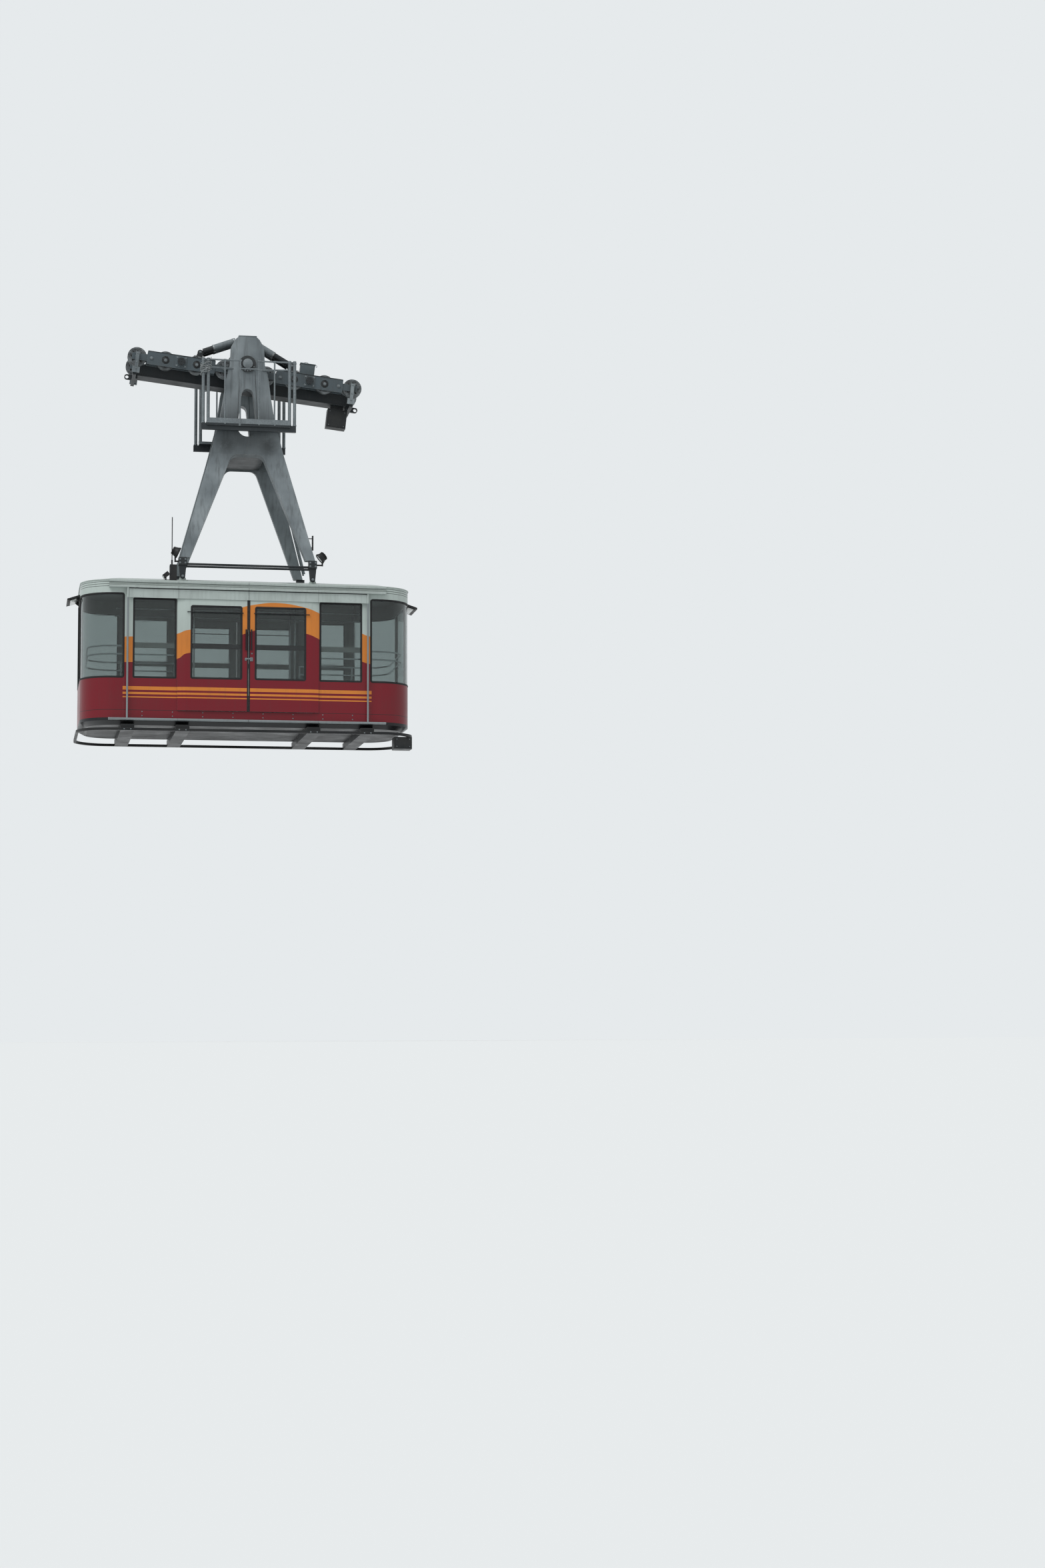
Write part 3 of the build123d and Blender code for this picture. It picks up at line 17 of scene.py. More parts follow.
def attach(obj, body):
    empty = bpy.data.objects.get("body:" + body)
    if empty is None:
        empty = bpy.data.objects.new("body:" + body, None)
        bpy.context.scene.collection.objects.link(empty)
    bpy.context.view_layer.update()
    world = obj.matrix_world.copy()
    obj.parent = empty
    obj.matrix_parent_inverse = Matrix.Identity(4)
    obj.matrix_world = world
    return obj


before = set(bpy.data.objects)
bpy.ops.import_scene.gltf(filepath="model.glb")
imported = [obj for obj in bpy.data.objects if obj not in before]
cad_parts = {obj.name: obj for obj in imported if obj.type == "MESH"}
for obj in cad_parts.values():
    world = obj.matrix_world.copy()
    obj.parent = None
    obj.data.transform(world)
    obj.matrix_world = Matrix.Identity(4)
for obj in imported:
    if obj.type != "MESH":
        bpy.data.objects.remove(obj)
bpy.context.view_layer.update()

# %% [markdown]
# Surfaces on grids
#
# A sheet of metal, a bolt head and a rubber lip are all one thing to a computer: a grid of points joined by
# four-cornered faces. So one function joins a grid, and the others only say where its points lie. The points
# are worked out as whole arrays. Ends are closed by letting the last row shrink to one point.

# %% Join a grid of points
def row(x, y, z):
    """Points from rows of X, Y and Z, where a single number stands for the whole row."""
    return np.stack(np.broadcast_arrays(x, y, z), axis=-1)


def woven(points, wrap_rows=False, wrap_columns=False):
    """Point (i, j) is joined to (i+1, j), (i+1, j+1) and (i, j+1). A wrap joins the last row or column to
    the first."""
    rows, columns = points.shape[:2]
    i = np.arange(rows if wrap_rows else rows - 1)[:, None]
    j = np.arange(columns if wrap_columns else columns - 1)[None, :]
    below = (i + 1) % rows * columns
    beside = (j + 1) % columns
    quads = np.stack([i * columns + j, below + j, below + beside, i * columns + beside], axis=-1)
    return points.reshape(-1, 3), quads.reshape(-1, 4)


def joined(*shapes):
    """Several shapes as one: the numbers of each shape's quads go on from the points before it."""
    starts = np.cumsum([0] + [len(points) for points, _ in shapes[:-1]])
    return (np.concatenate([points for points, _ in shapes]),
            np.concatenate([quads + start for (_, quads), start in zip(shapes, starts)]))


print("grid helpers ready")

# %% Repeat and mirror a shape
def copies(shape, places):
    """The same shape at many places: every point plus every place, as one table of sums."""
    points, quads = shape
    places = np.atleast_2d(np.asarray(places, float))
    moved = (places[:, None, :] + points[None]).reshape(-1, 3)
    return moved, (quads[None] + np.arange(len(places))[:, None, None] * len(points)).reshape(-1, 4)


def grid_of(*ranges):
    """Every combination of the given coordinates, one place a row."""
    return np.stack(np.meshgrid(*ranges, indexing="ij"), axis=-1).reshape(-1, 3)


def flipped(shape, x=1, y=1):
    """The mirror image: X or Y times minus one."""
    return shape[0] * np.array([x, y, 1.0]), shape[1]


def both_sides(shape):
    """A near shape and its mirror image on the far side."""
    return joined(shape, flipped(shape, y=-1))


def four_corners(shape):
    """A near downhill shape and its three mirror images."""
    return joined(shape, flipped(shape, x=-1), flipped(shape, y=-1), flipped(shape, x=-1, y=-1))


print("places in a grid of 2 x 3 x 1:", len(grid_of([0, 1], [0, 1, 2], [0])))

# %% Spin a profile and draw a section along a path
def unit(vectors):
    """Vectors divided by their own length."""
    return vectors / np.linalg.norm(vectors, axis=-1, keepdims=True)


def spun(profile, centre, axis=(0, -1, 0), steps=24):
    """A profile of (radius, height) pairs turned about an axis: centre + height * axis + radius * (cos a *
    first + sin a * second), where first and second are square to the axis."""
    radius, height = np.asarray(profile, float).T[:, :, None, None]
    axis = unit(np.asarray(axis, float))
    first = unit(np.cross(axis, [0.3, 0.2, 1.0] if abs(axis[2]) < 0.9 else [1.0, 0.0, 0.0]))
    angle = np.linspace(0, 2 * np.pi, steps, endpoint=False)[None, :, None]
    around = np.cos(angle) * first + np.sin(angle) * np.cross(axis, first)
    return woven(np.asarray(centre) + height * axis + radius * around, wrap_columns=True)


def drawn(path, section, side, closed=False):
    """A section of (across, up) pairs carried along a path. Up is the side given, and across is square to it
    and to the path. An open path's first and last rows shrink to their middle, so its ends are closed."""
    path = np.asarray(path, float)
    along = np.roll(path, -1, 0) - np.roll(path, 1, 0) if closed else np.gradient(path, axis=0)
    up = unit(np.broadcast_to(np.asarray(side, float), path.shape))
    across = unit(np.cross(unit(along), up))
    a, b = np.asarray(section, float).T[:, None, :, None]
    grid = path[:, None, :] + a * across[:, None, :] + b * up[:, None, :]
    if not closed:
        middle = grid.mean(axis=1, keepdims=True)
        ends = np.repeat(middle[[0, -1]], grid.shape[1], axis=1)
        grid = np.concatenate([ends[:1], grid, ends[1:]])
    return woven(grid, wrap_rows=closed, wrap_columns=True)


print("spun and drawn shapes ready")

# %% Circles, oblongs and cushioned plates
def circle(radius, steps=12):
    """Points (r cos a, r sin a) round a circle."""
    angle = np.linspace(0, 2 * np.pi, steps, endpoint=False)
    return np.stack([radius * np.cos(angle), radius * np.sin(angle)], axis=1)


def oblong(width, height, corner, steps=5):
    """A rectangle with round corners: each corner's centre plus a quarter circle."""
    angle = np.linspace(0, np.pi / 2, steps)[None, :] + np.arange(4)[:, None] * np.pi / 2
    signs = np.array([[1, 1], [-1, 1], [-1, -1], [1, -1]])[:, None, :]
    inner = np.array([width / 2 - corner, height / 2 - corner])
    return (signs * inner + corner * np.stack([np.cos(angle), np.sin(angle)], axis=2)).reshape(-1, 2)


def cushioned(width, height, corner, thick, edge, place, right=(1, 0, 0), up=(0, 0, 1)):
    """A round-cornered outline stacked outwards: it shrinks by edge (1 - cos a) while it rises by
    edge sin a, and a point closes each end."""
    right, up = np.asarray(right, float), np.asarray(up, float)
    out = np.cross(right, up)
    a = np.linspace(0, np.pi / 2, 4)
    shrink = np.concatenate([[0.0], edge * (1 - np.cos(a))])
    rise = np.concatenate([[0.0], thick - edge + edge * np.sin(a)])
    rings = np.stack([oblong(width - 2 * s, height - 2 * s, max(corner - s, 0.001)) for s in shrink])
    grid = rings[..., :1] * right + rings[..., 1:] * up + rise[:, None, None] * out
    ends = np.repeat((np.array([0.0, thick])[:, None] * out)[:, None, :], grid.shape[1], axis=1)
    return woven(np.asarray(place) + np.concatenate([ends[:1], grid, ends[1:]]), wrap_columns=True)


print("faces of a cushioned plate:", len(cushioned(0.1, 0.1, 0.01, 0.01, 0.002, (0, 0, 0))[1]))

# %% Put a shape into Blender
SEAM = 2e-5                     # points nearer than this are one point
SHARP = math.radians(35)
shown = []


def made(name, shape, material, body="hanger"):
    """Writes the arrays into a mesh, merges points that meet, turns every face outwards and lets the piece
    ride on its body. Edges that turn more than SHARP stay sharp."""
    points, quads = shape
    mesh = bpy.data.meshes.new(name)
    mesh.vertices.add(len(points))
    mesh.vertices.foreach_set("co", np.ascontiguousarray(points, dtype=np.float32).ravel())
    mesh.loops.add(quads.size)
    mesh.loops.foreach_set("vertex_index", quads.ravel().astype(np.int32))
    mesh.polygons.add(len(quads))
    mesh.polygons.foreach_set("loop_start", np.arange(0, quads.size, 4, dtype=np.int32))
    mesh.update(calc_edges=True)
    work = bmesh.new()
    work.from_mesh(mesh)
    bmesh.ops.remove_doubles(work, verts=work.verts, dist=SEAM)
    bmesh.ops.recalc_face_normals(work, faces=work.faces)
    work.to_mesh(mesh)
    work.free()
    mesh.polygons.foreach_set("use_smooth", np.ones(len(mesh.polygons), dtype=bool))
    mesh.set_sharp_from_angle(angle=SHARP)
    mesh.materials.append(material)
    piece = bpy.data.objects.new(name, mesh)
    bpy.context.scene.collection.objects.link(piece)
    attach(piece, body)
    shown.append(len(mesh.polygons))


print("mesh writer ready")

# %% [markdown]
# Finishes
#
# Paint on a machine that lives outdoors is never one colour. Rain draws long stains down it, edges rub
# through, and the sprayed film has a fine orange-peel. One recipe adds these to any base colour, with sizes
# in real millimetres, and each finish below only says how much of each it has.

# %% A colour, a node and layers of paint
def linear(hex_colour):
    """sRGB hex to linear light: c / 12.92 below 0.04045, else ((c + 0.055) / 1.055) to the power 2.4."""
    srgb = np.array([int(hex_colour[i:i + 2], 16) for i in (1, 3, 5)]) / 255
    light = np.where(srgb <= 0.04045, srgb / 12.92, ((srgb + 0.055) / 1.055) ** 2.4)
    return (*light.tolist(), 1.0)


def put(tree, kind, sockets=(), out=0, **settings):
    """Adds one shader node. Settings are its own properties. Its sockets, by name or in their order, take
    numbers, colours or other nodes' outputs. Out is the output to give back, or None for the node itself."""
    node = tree.nodes.new("ShaderNode" + kind)
    for key, value in settings.items():
        setattr(node, key, value)
    for key, value in sockets.items() if isinstance(sockets, dict) else enumerate(sockets):
        if isinstance(value, bpy.types.NodeSocket):
            tree.links.new(value, node.inputs[key])
        else:
            node.inputs[key].default_value = value
    return node if out is None else node.outputs[out]


def painted(tree, colour, *layers):
    """Lays paints over a colour. Each layer is a paint and its shares, which are multiplied: at 0 the old
    colour stays, and at 1 the paint shows. A test as a share is a Math operation and its numbers."""
    for paint, *shares in layers:
        for number, share in enumerate(shares):
            if isinstance(share, tuple):
                shares[number] = put(tree, "Math", share[1:], operation=share[0])
        share = shares[0]
        for more in shares[1:]:
            share = put(tree, "Math", (share, more), operation="MULTIPLY")
        first, second = (linear(hue) if isinstance(hue, str) else hue for hue in (colour, paint))
        colour = put(tree, "Mix", {0: share, 6: first, 7: second}, 2, data_type="RGBA")
    return colour


def emptied(owner):
    """Gives a material or a world an empty node tree."""
    owner.use_nodes = True
    owner.node_tree.nodes.clear()
    return owner.node_tree


print("white in linear light:", linear("#ffffff"))

# %% The recipe
def recipe(name, colour, stain="#2c2c28", stain_mm=600, stain_share=0.35, streak_share=0.0, wear="#8a8f90",
           wear_share=0.5, edge_mm=5, rough=0.45, rough_spread=0.12, metallic=0.0, grain_mm=3.0,
           grain_height=0.25, coat=0.0, specular=0.5):
    """A colour or a pattern, then broad stains and tall streaks over it, then bare edges. Roughness follows
    the stains, and a fine bump has the grain's size. Streaks are about 50 mm wide and 650 mm tall, and chips
    18 mm across. The grain is coarser than a real film's or casting's, as it would not show otherwise."""
    material = bpy.data.materials.new(name)
    tree = emptied(material)
    place = put(tree, "TexCoord", out="Object")
    broad = put(tree, "TexNoise", {"Vector": place, "Scale": 1000 / stain_mm, "Detail": 6.0,
                                   "Roughness": 0.62})
    spots = put(tree, "MapRange", {"Value": broad, "From Min": 0.42, "From Max": 0.78, "To Max": stain_share})
    layers = [(stain, spots)]
    if streak_share:
        tall = put(tree, "Mapping", {"Vector": place, "Scale": (9.0, 9.0, 0.7)})
        runs = put(tree, "TexNoise", {"Vector": tall, "Scale": 2.2, "Detail": 5.0, "Roughness": 0.6})
        runs = put(tree, "MapRange", {"Value": runs, "From Min": 0.5, "From Max": 0.72,
                                      "To Max": streak_share})
        layers.append((stain, runs))
    if wear_share:
        soft = put(tree, "Bevel", {"Radius": edge_mm / 1000}, samples=4)
        true = put(tree, "NewGeometry", out="Normal")
        turn = put(tree, "VectorMath", (soft, true), "Value", operation="DOT_PRODUCT")
        edge = put(tree, "MapRange", {"Value": turn, "From Min": 0.985, "From Max": 0.86,
                                      "To Max": wear_share})
        chips = put(tree, "TexNoise", {"Vector": place, "Scale": 55.0, "Detail": 3.0})
        chips = put(tree, "MapRange", {"Value": chips, "From Min": 0.38, "From Max": 0.6, "To Max": edge})
        layers.append((wear, chips))
    tint = painted(tree, colour(tree, place) if callable(colour) else colour, *layers)
    gloss = put(tree, "MapRange", {"Value": broad, "From Min": 0.3, "From Max": 0.7,
                                   "To Min": rough - rough_spread, "To Max": rough + rough_spread})
    grain = put(tree, "TexNoise", {"Vector": place, "Scale": 1000 / grain_mm, "Detail": 2.0})
    bump = put(tree, "Bump", {"Height": grain, "Strength": grain_height, "Distance": grain_mm / 4000})
    shader = put(tree, "BsdfPrincipled", {"Base Color": tint, "Roughness": gloss, "Metallic": metallic,
                                          "Coat Weight": coat, "Specular IOR Level": specular,
                                          "Normal": bump})
    put(tree, "OutputMaterial", {"Surface": shader}, None)
    return material


print("recipe ready")

# %% [markdown]
# The livery
#
# The body is sprayed in three colours: pale grey-green above, an orange band that rises to a hump amidships,
# and crimson below. A picture could be wrapped round it, but the edges are only two heights that change
# along the cabin, so two curves over X give them exactly, and the paint stays sharp at any distance.
# The inside of the same panels is lined in pale plastic, what stands off the doors is black, and below the
# skirt's foot black paint stands for the shade under the body.

# %% The cabin's size and the livery's lines
HEADER = -3.820                 # top of the windows' header, from which heights are measured
HALF_L, HALF_W, CORNER = 2.815, 1.165, 0.560
FACE = 0.040                    # doors' outer face outside the wall
CRIMSON, ORANGE, PALE, LINING, BLACK = "#6f0f1d", "#c9792f", "#aeb9b4", "#b9bcb8", "#15171a"
CURVE_REACH, CURVE_DROP = 2.2, 1.5
BAND = [(-2.1, -0.83, -1.264), (-1.2, -0.76, -1.19), (-1.07, -0.708, -1.105), (-0.965, -0.685, -1.08),
        (-0.12, -0.29, -0.76), (0.12, -0.232, -0.677), (0.46, -0.195, -0.655), (0.965, -0.264, -0.709),
        (1.2, -0.348, -0.796), (1.93, -0.674, -1.16), (2.1, -0.73, -1.206)]     # X, top edge, foot edge
BAND_TOP, BAND_FOOT = 1, 2
COACH_LINES = [(HEADER - 1.700, 0.030), (HEADER - 1.785, 0.018), (HEADER - 1.850, 0.010)]
# Dark lines: a panel joint above the skirt, and painted shade in the grooves of the roof strip above it.
JOINTS_AND_GROOVE_SHADE = [HEADER - 2.072, HEADER + 0.03, HEADER + 0.066, HEADER + 0.102]
DARK_LINE_HALF = 0.0035
END_WINDOW_X = 2.112            # the corner panes' black frames start here
END_FRAMES, END_PANELS = (HEADER - 0.804, 0.709), (HEADER - 3.0, 1.487)     # middle and half height
# Below the skirt's foot the body turns under, and the black there is painted shade.
SKIRT_FOOT = HEADER - 2.205
WALL_LINED = -0.016             # depth of the wall's lining


def band_edge(tree, run, edge):
    """Height of one of the band's edges over X. The curve's own box is 0 to 1, so the reach and the drop are
    squeezed into it and stretched again after it."""
    part = put(tree, "MapRange", {"Value": run, "From Min": -CURVE_REACH, "From Max": CURVE_REACH})
    curve = put(tree, "FloatCurve", {"Value": part}, None)
    points = curve.mapping.curves[0].points
    spots = [((point[0] + CURVE_REACH) / (2 * CURVE_REACH), (point[edge] + CURVE_DROP) / CURVE_DROP)
             for point in BAND]
    points[0].location = (0.0, spots[0][1])
    points[1].location = (1.0, spots[-1][1])
    for spot in spots:
        points.new(*spot)
    curve.mapping.update()
    return put(tree, "MapRange", {"Value": curve.outputs[0], "To Min": HEADER - CURVE_DROP, "To Max": HEADER})


def wall_depth(tree, place):
    """How far a point lies outside the cabin's rounded plan: the length of (|x|, |y|) beyond the corners'
    centres, less the corner's radius."""
    flat = put(tree, "VectorMath", (place, (1.0, 1.0, 0.0)), operation="MULTIPLY")
    size = put(tree, "VectorMath", (flat,), operation="ABSOLUTE")
    centre = (HALF_L - CORNER, HALF_W - CORNER, 0.0)
    beyond = put(tree, "VectorMath", (size, centre), operation="SUBTRACT")
    past = put(tree, "VectorMath", (beyond, (0.0, 0.0, 0.0)), operation="MAXIMUM")
    far = put(tree, "VectorMath", (past,), "Value", operation="LENGTH")
    return put(tree, "Math", (far, CORNER), operation="SUBTRACT")


print("points on the band's edges:", len(BAND))

# %% Sprayed coach enamel on the body's panels
def livery(tree, place, lined=WALL_LINED):
    """Crimson, with coach lines, then orange above the lower curve and pale above the upper one, then the
    black frames of the end windows, the panels' joints and the strip's grooves in painted shade, the lining,
    what stands proud, and painted shade below the skirt's foot."""
    x, y, z = put(tree, "SeparateXYZ", (place,), None).outputs
    facing = put(tree, "Math", (y,), operation="SIGN")
    run = put(tree, "Math", (x, facing), operation="MULTIPLY")
    run = put(tree, "Math", (run, -1.0), operation="MULTIPLY")
    length = put(tree, "Math", (x,), operation="ABSOLUTE")
    depth = wall_depth(tree, place)
    end = ("GREATER_THAN", length, END_WINDOW_X)
    return painted(tree, CRIMSON,
                   *[(ORANGE, ("COMPARE", z, height, half)) for height, half in COACH_LINES],
                   (ORANGE, ("GREATER_THAN", z, band_edge(tree, run, BAND_FOOT))),
                   (PALE, ("GREATER_THAN", z, band_edge(tree, run, BAND_TOP))),
                   (BLACK, end, ("COMPARE", z, *END_FRAMES)),
                   (CRIMSON, end, ("COMPARE", z, *END_PANELS)),
                   # Dark joints, and painted shade in the strip's grooves.
                   *[(BLACK, ("COMPARE", z, height, DARK_LINE_HALF)) for height in JOINTS_AND_GROOVE_SHADE],
                   (LINING, ("LESS_THAN", depth, lined)),
                   (BLACK, ("GREATER_THAN", depth, FACE + 0.001)),
                   # Black painted shade below the skirt's foot.
                   (BLACK, ("LESS_THAN", z, SKIRT_FOOT)))


# Hard-edged colours with an even shine, a little dulled by dirt, and pale primer at the panels' edges.
ENAMEL = dict(stain="#3a3430", stain_mm=900, stain_share=0.16, streak_share=0.12, wear="#b9b4a8",
              wear_share=0.25, edge_mm=3, rough=0.34, rough_spread=0.07, grain_mm=6, grain_height=0.12,
              coat=0.04, specular=0.3)
coach_enamel = recipe("sprayed_coach_enamel", livery, **ENAMEL)
print("nodes in the enamel:", len(coach_enamel.node_tree.nodes))

# %% The same enamel on the doors
# The leaves hang outside the wall, so only their inner face, 6 mm out from it, is lined. The bar across a
# leaf's window lies between that face and the painted one, and is black.
LEAF_LINED, LEAF_PAINTED, LEAF_WINDOW_END = 0.0125, 0.028, 0.97


def leaf_livery(tree, place):
    """The coach livery, with black where the depth is between lining and paint and X is within the window's
    far end."""
    depth = wall_depth(tree, place)
    side = put(tree, "Math", (put(tree, "SeparateXYZ", (place,), "X"),), operation="ABSOLUTE")
    bar = (("LESS_THAN", side, LEAF_WINDOW_END), ("LESS_THAN", depth, LEAF_PAINTED),
           ("GREATER_THAN", depth, LEAF_LINED))
    return painted(tree, livery(tree, place, LEAF_LINED), (BLACK, *bar))


# The same shine and edges as the walls, so that leaf and wall read as one painting.
door_enamel = recipe("sprayed_door_enamel", leaf_livery, **ENAMEL)
print("nodes in the doors' enamel:", len(door_enamel.node_tree.nodes))

# %% [markdown]
# Roof and door gear
#
# The roof is the same pale enamel, but it stands in sun and rain, so it is duller and more stained. The gear
# that carries the doors is drawn aluminium, painted where it shows above and bare below. Both could be one
# grey, but the joints and the bare rail are what tells the eye that these are long profiles butted together.

# %% Roof enamel and aluminium tracks
RUNNING_RAIL_Z = HEADER - 0.168
COVER_JOINTS = (-1.19, -0.006, 0.006, 1.19)
SUNK_Z, SUNK_Y = (HEADER + 0.065, 0.027), (HALF_W + 0.07, 0.012)       # middle and half width


def track_colours(tree, place):
    """Paint on the strip under the roof's edge, bare drawn aluminium below the cover, the cover's dark
    joints, and shade in the strip's sunk middle."""
    x, y, z = put(tree, "SeparateXYZ", (place,), None).outputs
    width = put(tree, "Math", (y,), operation="ABSOLUTE")
    return painted(tree, "#7d8486",
                   ("#a7b1ad", ("GREATER_THAN", z, RUNNING_RAIL_Z)),
                   *[(BLACK, ("COMPARE", x, joint, 0.002)) for joint in COVER_JOINTS],
                   ("#4f5855", ("COMPARE", z, *SUNK_Z), ("COMPARE", width, *SUNK_Y)))


# A soft, mottled grey-green with faint runs, too dull to mirror anything.
roof_enamel = recipe("sprayed_roof_enamel", "#a9b3ae", stain="#4b4d47", stain_mm=700, stain_share=0.3,
                     streak_share=0.1, wear="#c9cbc4", wear_share=0.2, rough=0.42, grain_mm=5, coat=0.1)
# Straight pale profiles with bright, rubbed corners, which look hard and thin beside the round roof.
track_finish = recipe("drawn_aluminium_track", track_colours, stain="#50534f", stain_mm=400,
                      stain_share=0.25, streak_share=0.2, wear="#c4c8c8", wear_share=0.4, rough=0.36,
                      metallic=0.15, grain_mm=2)
print("roof finishes ready")

# %% [markdown]
# Brushed paint on welded steel
#
# Hanger and carriage are welded from plate and painted by brush, again and again. The hanger's grey has
# patches of two ages, soot mixed with the platforms' painted shadow below them, and dark runs down its legs.
# A photograph of such paint could be tiled over it, but noises placed by real heights put the dirt where rain
# and oil really leave it, and the painted shadow where the platforms cast it.

# %% Grey paint on the hanger
BEARING_Z = 0.2374
FRAME_OUT = 0.7315              # just outside the frames' plates
# Spots of soot, with the platforms' painted shadow below them.
SOOT_AND_SHADOW_SPOTS = ((0.0, -0.98, 0.62), (0.36, -1.20, 0.16))      # distance from the middle, height, size
FOLD, TOWER, DARK_RING = (0.310, 0.005), (-0.35, 0.47), (0.10, 0.06)       # middle and half width


def leg_colours(tree, place):
    """Two greys in patches of about 900 mm, then soot and the platforms' painted shadow within a distance of
    each spot that 200 mm noise makes ragged, the tower's folds, where |x| + 0.05 z + 0.175 is 0.310, and the
    bearing's dark ring."""
    patches = put(tree, "TexNoise", {"Vector": place, "Scale": 1.1, "Detail": 3.0})
    layers = [("#677074", put(tree, "MapRange", {"Value": patches, "From Min": 0.4, "From Max": 0.62}))]
    x, y, z = put(tree, "SeparateXYZ", (place,), None).outputs
    width = put(tree, "Math", (x,), operation="ABSOLUTE")
    depth = put(tree, "Math", (y,), operation="ABSOLUTE")
    soot_and_shadow_noise = put(tree, "TexNoise", {"Vector": place, "Scale": 5.0, "Detail": 6.0, "Roughness": 0.7})
    for across, height, size in SOOT_AND_SHADOW_SPOTS:
        spot = put(tree, "CombineXYZ", (width, soot_and_shadow_noise, z))
        far = put(tree, "VectorMath", (spot, (across, 0.5, height)), "Value", operation="DISTANCE")
        share = put(tree, "MapRange", {"Value": far, "From Min": 1.3 * size, "From Max": 0.35 * size,
                                       "To Max": 0.72})
        layers.append(("#23292b", share))
    fold = put(tree, "Math", (z, 0.05, 0.175), operation="MULTIPLY_ADD")
    fold = put(tree, "Math", (width, fold), operation="ADD")
    flat = put(tree, "CombineXYZ", {0: x, 2: z})
    away = put(tree, "VectorMath", (flat, (0.0, 0.0, BEARING_Z)), "Value", operation="DISTANCE")
    return painted(tree, "#80888b", *layers,
                   ("#33393c", ("COMPARE", fold, *FOLD), ("COMPARE", z, *TOWER)),
                   ("#1f2426", ("COMPARE", away, *DARK_RING), ("GREATER_THAN", depth, FRAME_OUT)))


# Heavy plate that has stood outside for years: mottled, run down with dark streaks, rubbed at its corners.
hanger_paint = recipe("brushed_steel_paint_grey", leg_colours, stain="#2b2e2f", stain_mm=900,
                      stain_share=0.45, streak_share=0.5, wear="#8b8a84", wear_share=0.55, edge_mm=8,
                      rough=0.5, grain_mm=8, grain_height=0.3)
# A cap a shade paler than the ring round it, so that the great pin reads as a round eye in the tower.
hanger_cap = recipe("brushed_cap_paint", "#727a7d", stain="#33393b", stain_mm=120, stain_share=0.5,
                    wear="#9a9c9a", edge_mm=4, grain_mm=4)
print("hanger paints ready")

# %% Dark paint on the carriage and below the cabin
DULL = 0.28                     # specular level of films that dust and grease have dulled
# Nearly black and greasy, and dark as painted shade, so that the girder sinks into shade behind the
# bogies and the hanger's soffit looks shaded.
dark_paint_and_painted_shade = recipe("brushed_steel_paint_black_and_painted_shade", "#24292c", stain="#3b3a37", stain_mm=500,
                      streak_share=0.25, wear="#4f4f4c", wear_share=0.45, rough=0.5, grain_mm=6,
                      grain_height=0.3, specular=DULL)
# Blue-grey plates with rusty-brown grime, and bright edges that are rubbed paint and also a painted
# highlight, which part the bogies from the girder.
bogie_paint = recipe("brushed_bogie_paint", "#4b555a", stain="#3b3a36", stain_mm=350, stain_share=0.5,
                     streak_share=0.35, wear="#b3b2aa", rough=0.46, grain_mm=6, specular=DULL)
# An even black film with dusty patches, for tubes and beams that read as thin dark lines. On the
# underframe it is also painted shade under the cabin.
black_coat_and_painted_shade = recipe("powder_coat_black_and_painted_shade", "#17191b", stain="#45423e", stain_mm=450, stain_share=0.25,
                    wear="#777672", specular=DULL)
print("steel paints ready")

# %% [markdown]
# Bare metals
#
# Bolts, rails and decks are dipped in molten zinc, which freezes in crystals. Wheels are cast and run in
# grease. Pins and clamps are turned, and the rails inside are drawn stainless tube. Each is the recipe with
# more metal in it, and cells of a Voronoi pattern are the zinc's crystals, as each is one flat tone.

# %% Turned steel, zinc, cast wheels and stainless tube
def spangle(tree, place):
    """Zinc crystals of about 12 mm, each a little lighter or darker than its neighbour."""
    crystals = put(tree, "TexVoronoi", {"Vector": place, "Scale": 1000 / 12}, "Color")
    return painted(tree, "#646c6f", ("#7a8184", put(tree, "SeparateColor", (crystals,))))


def tread(tree, place):
    """A cast wheel: dull grey, with patches of dark grease of about 70 mm."""
    oil = put(tree, "TexNoise", {"Vector": place, "Scale": 14.0, "Detail": 4.0})
    share = put(tree, "MapRange", {"Value": oil, "From Min": 0.4, "From Max": 0.65})
    return painted(tree, "#6f7476", ("#45484a", share))


# Small clean glints on pins, clamps and chain, with brown oil between them.
machined_steel = recipe("turned_steel", "#8f9495", stain="#4c453b", stain_mm=160, wear="#c3c5c4",
                        wear_share=0.4, edge_mm=3, rough=0.32, metallic=0.75, grain_mm=1.5)
# A mottled matt grey, lighter than the paint, that lets bolt heads stand out without shining.
zinc = recipe("hot_dip_zinc", spangle, stain="#55585a", stain_mm=300, streak_share=0.15, wear="#b5b8b8",
              wear_share=0.3, metallic=0.45, grain_mm=4)
# Rough and blotched, with bright rims where the casting is rubbed.
wheel_casting = recipe("cast_wheel_steel", tread, stain="#26241f", stain_mm=120, stain_share=0.5,
                       wear="#a9abaa", rough=0.42, metallic=0.45, grain_height=0.35)
# Thin bright lines behind the glass, which give the empty cabin its depth.
stainless = recipe("drawn_stainless_tube", "#b9bcbd", stain="#7b7d7c", stain_mm=250, stain_share=0.2,
                   wear_share=0, rough=0.22, rough_spread=0.06, metallic=0.9, grain_mm=1)
print("metals ready")

# %% Zinc and painted shade on the platforms
CURB_Z = -0.868


def platform_colours(tree, place):
    """Zinc on the curb, posts and rails; the channel and deck below them are painted nearly black as shade.
    """
    z = put(tree, "SeparateXYZ", (place,), "Z")
    # Below the curb's top the platform is painted nearly black as its shade.
    return painted(tree, "#22282b", (spangle(tree, place), ("GREATER_THAN", z, CURB_Z)))


# Pale rails over a deck painted dark as shade, as the platform is seen from below with its edge in the light.
zinc_deck_and_painted_shade = recipe("hot_dip_zinc_deck_and_painted_shade", platform_colours, stain="#3c4042", stain_mm=300, stain_share=0.4,
                    streak_share=0.2, wear="#9da1a1", wear_share=0.4, rough=0.5, metallic=0.3, grain_mm=4)
print("platform finish ready")

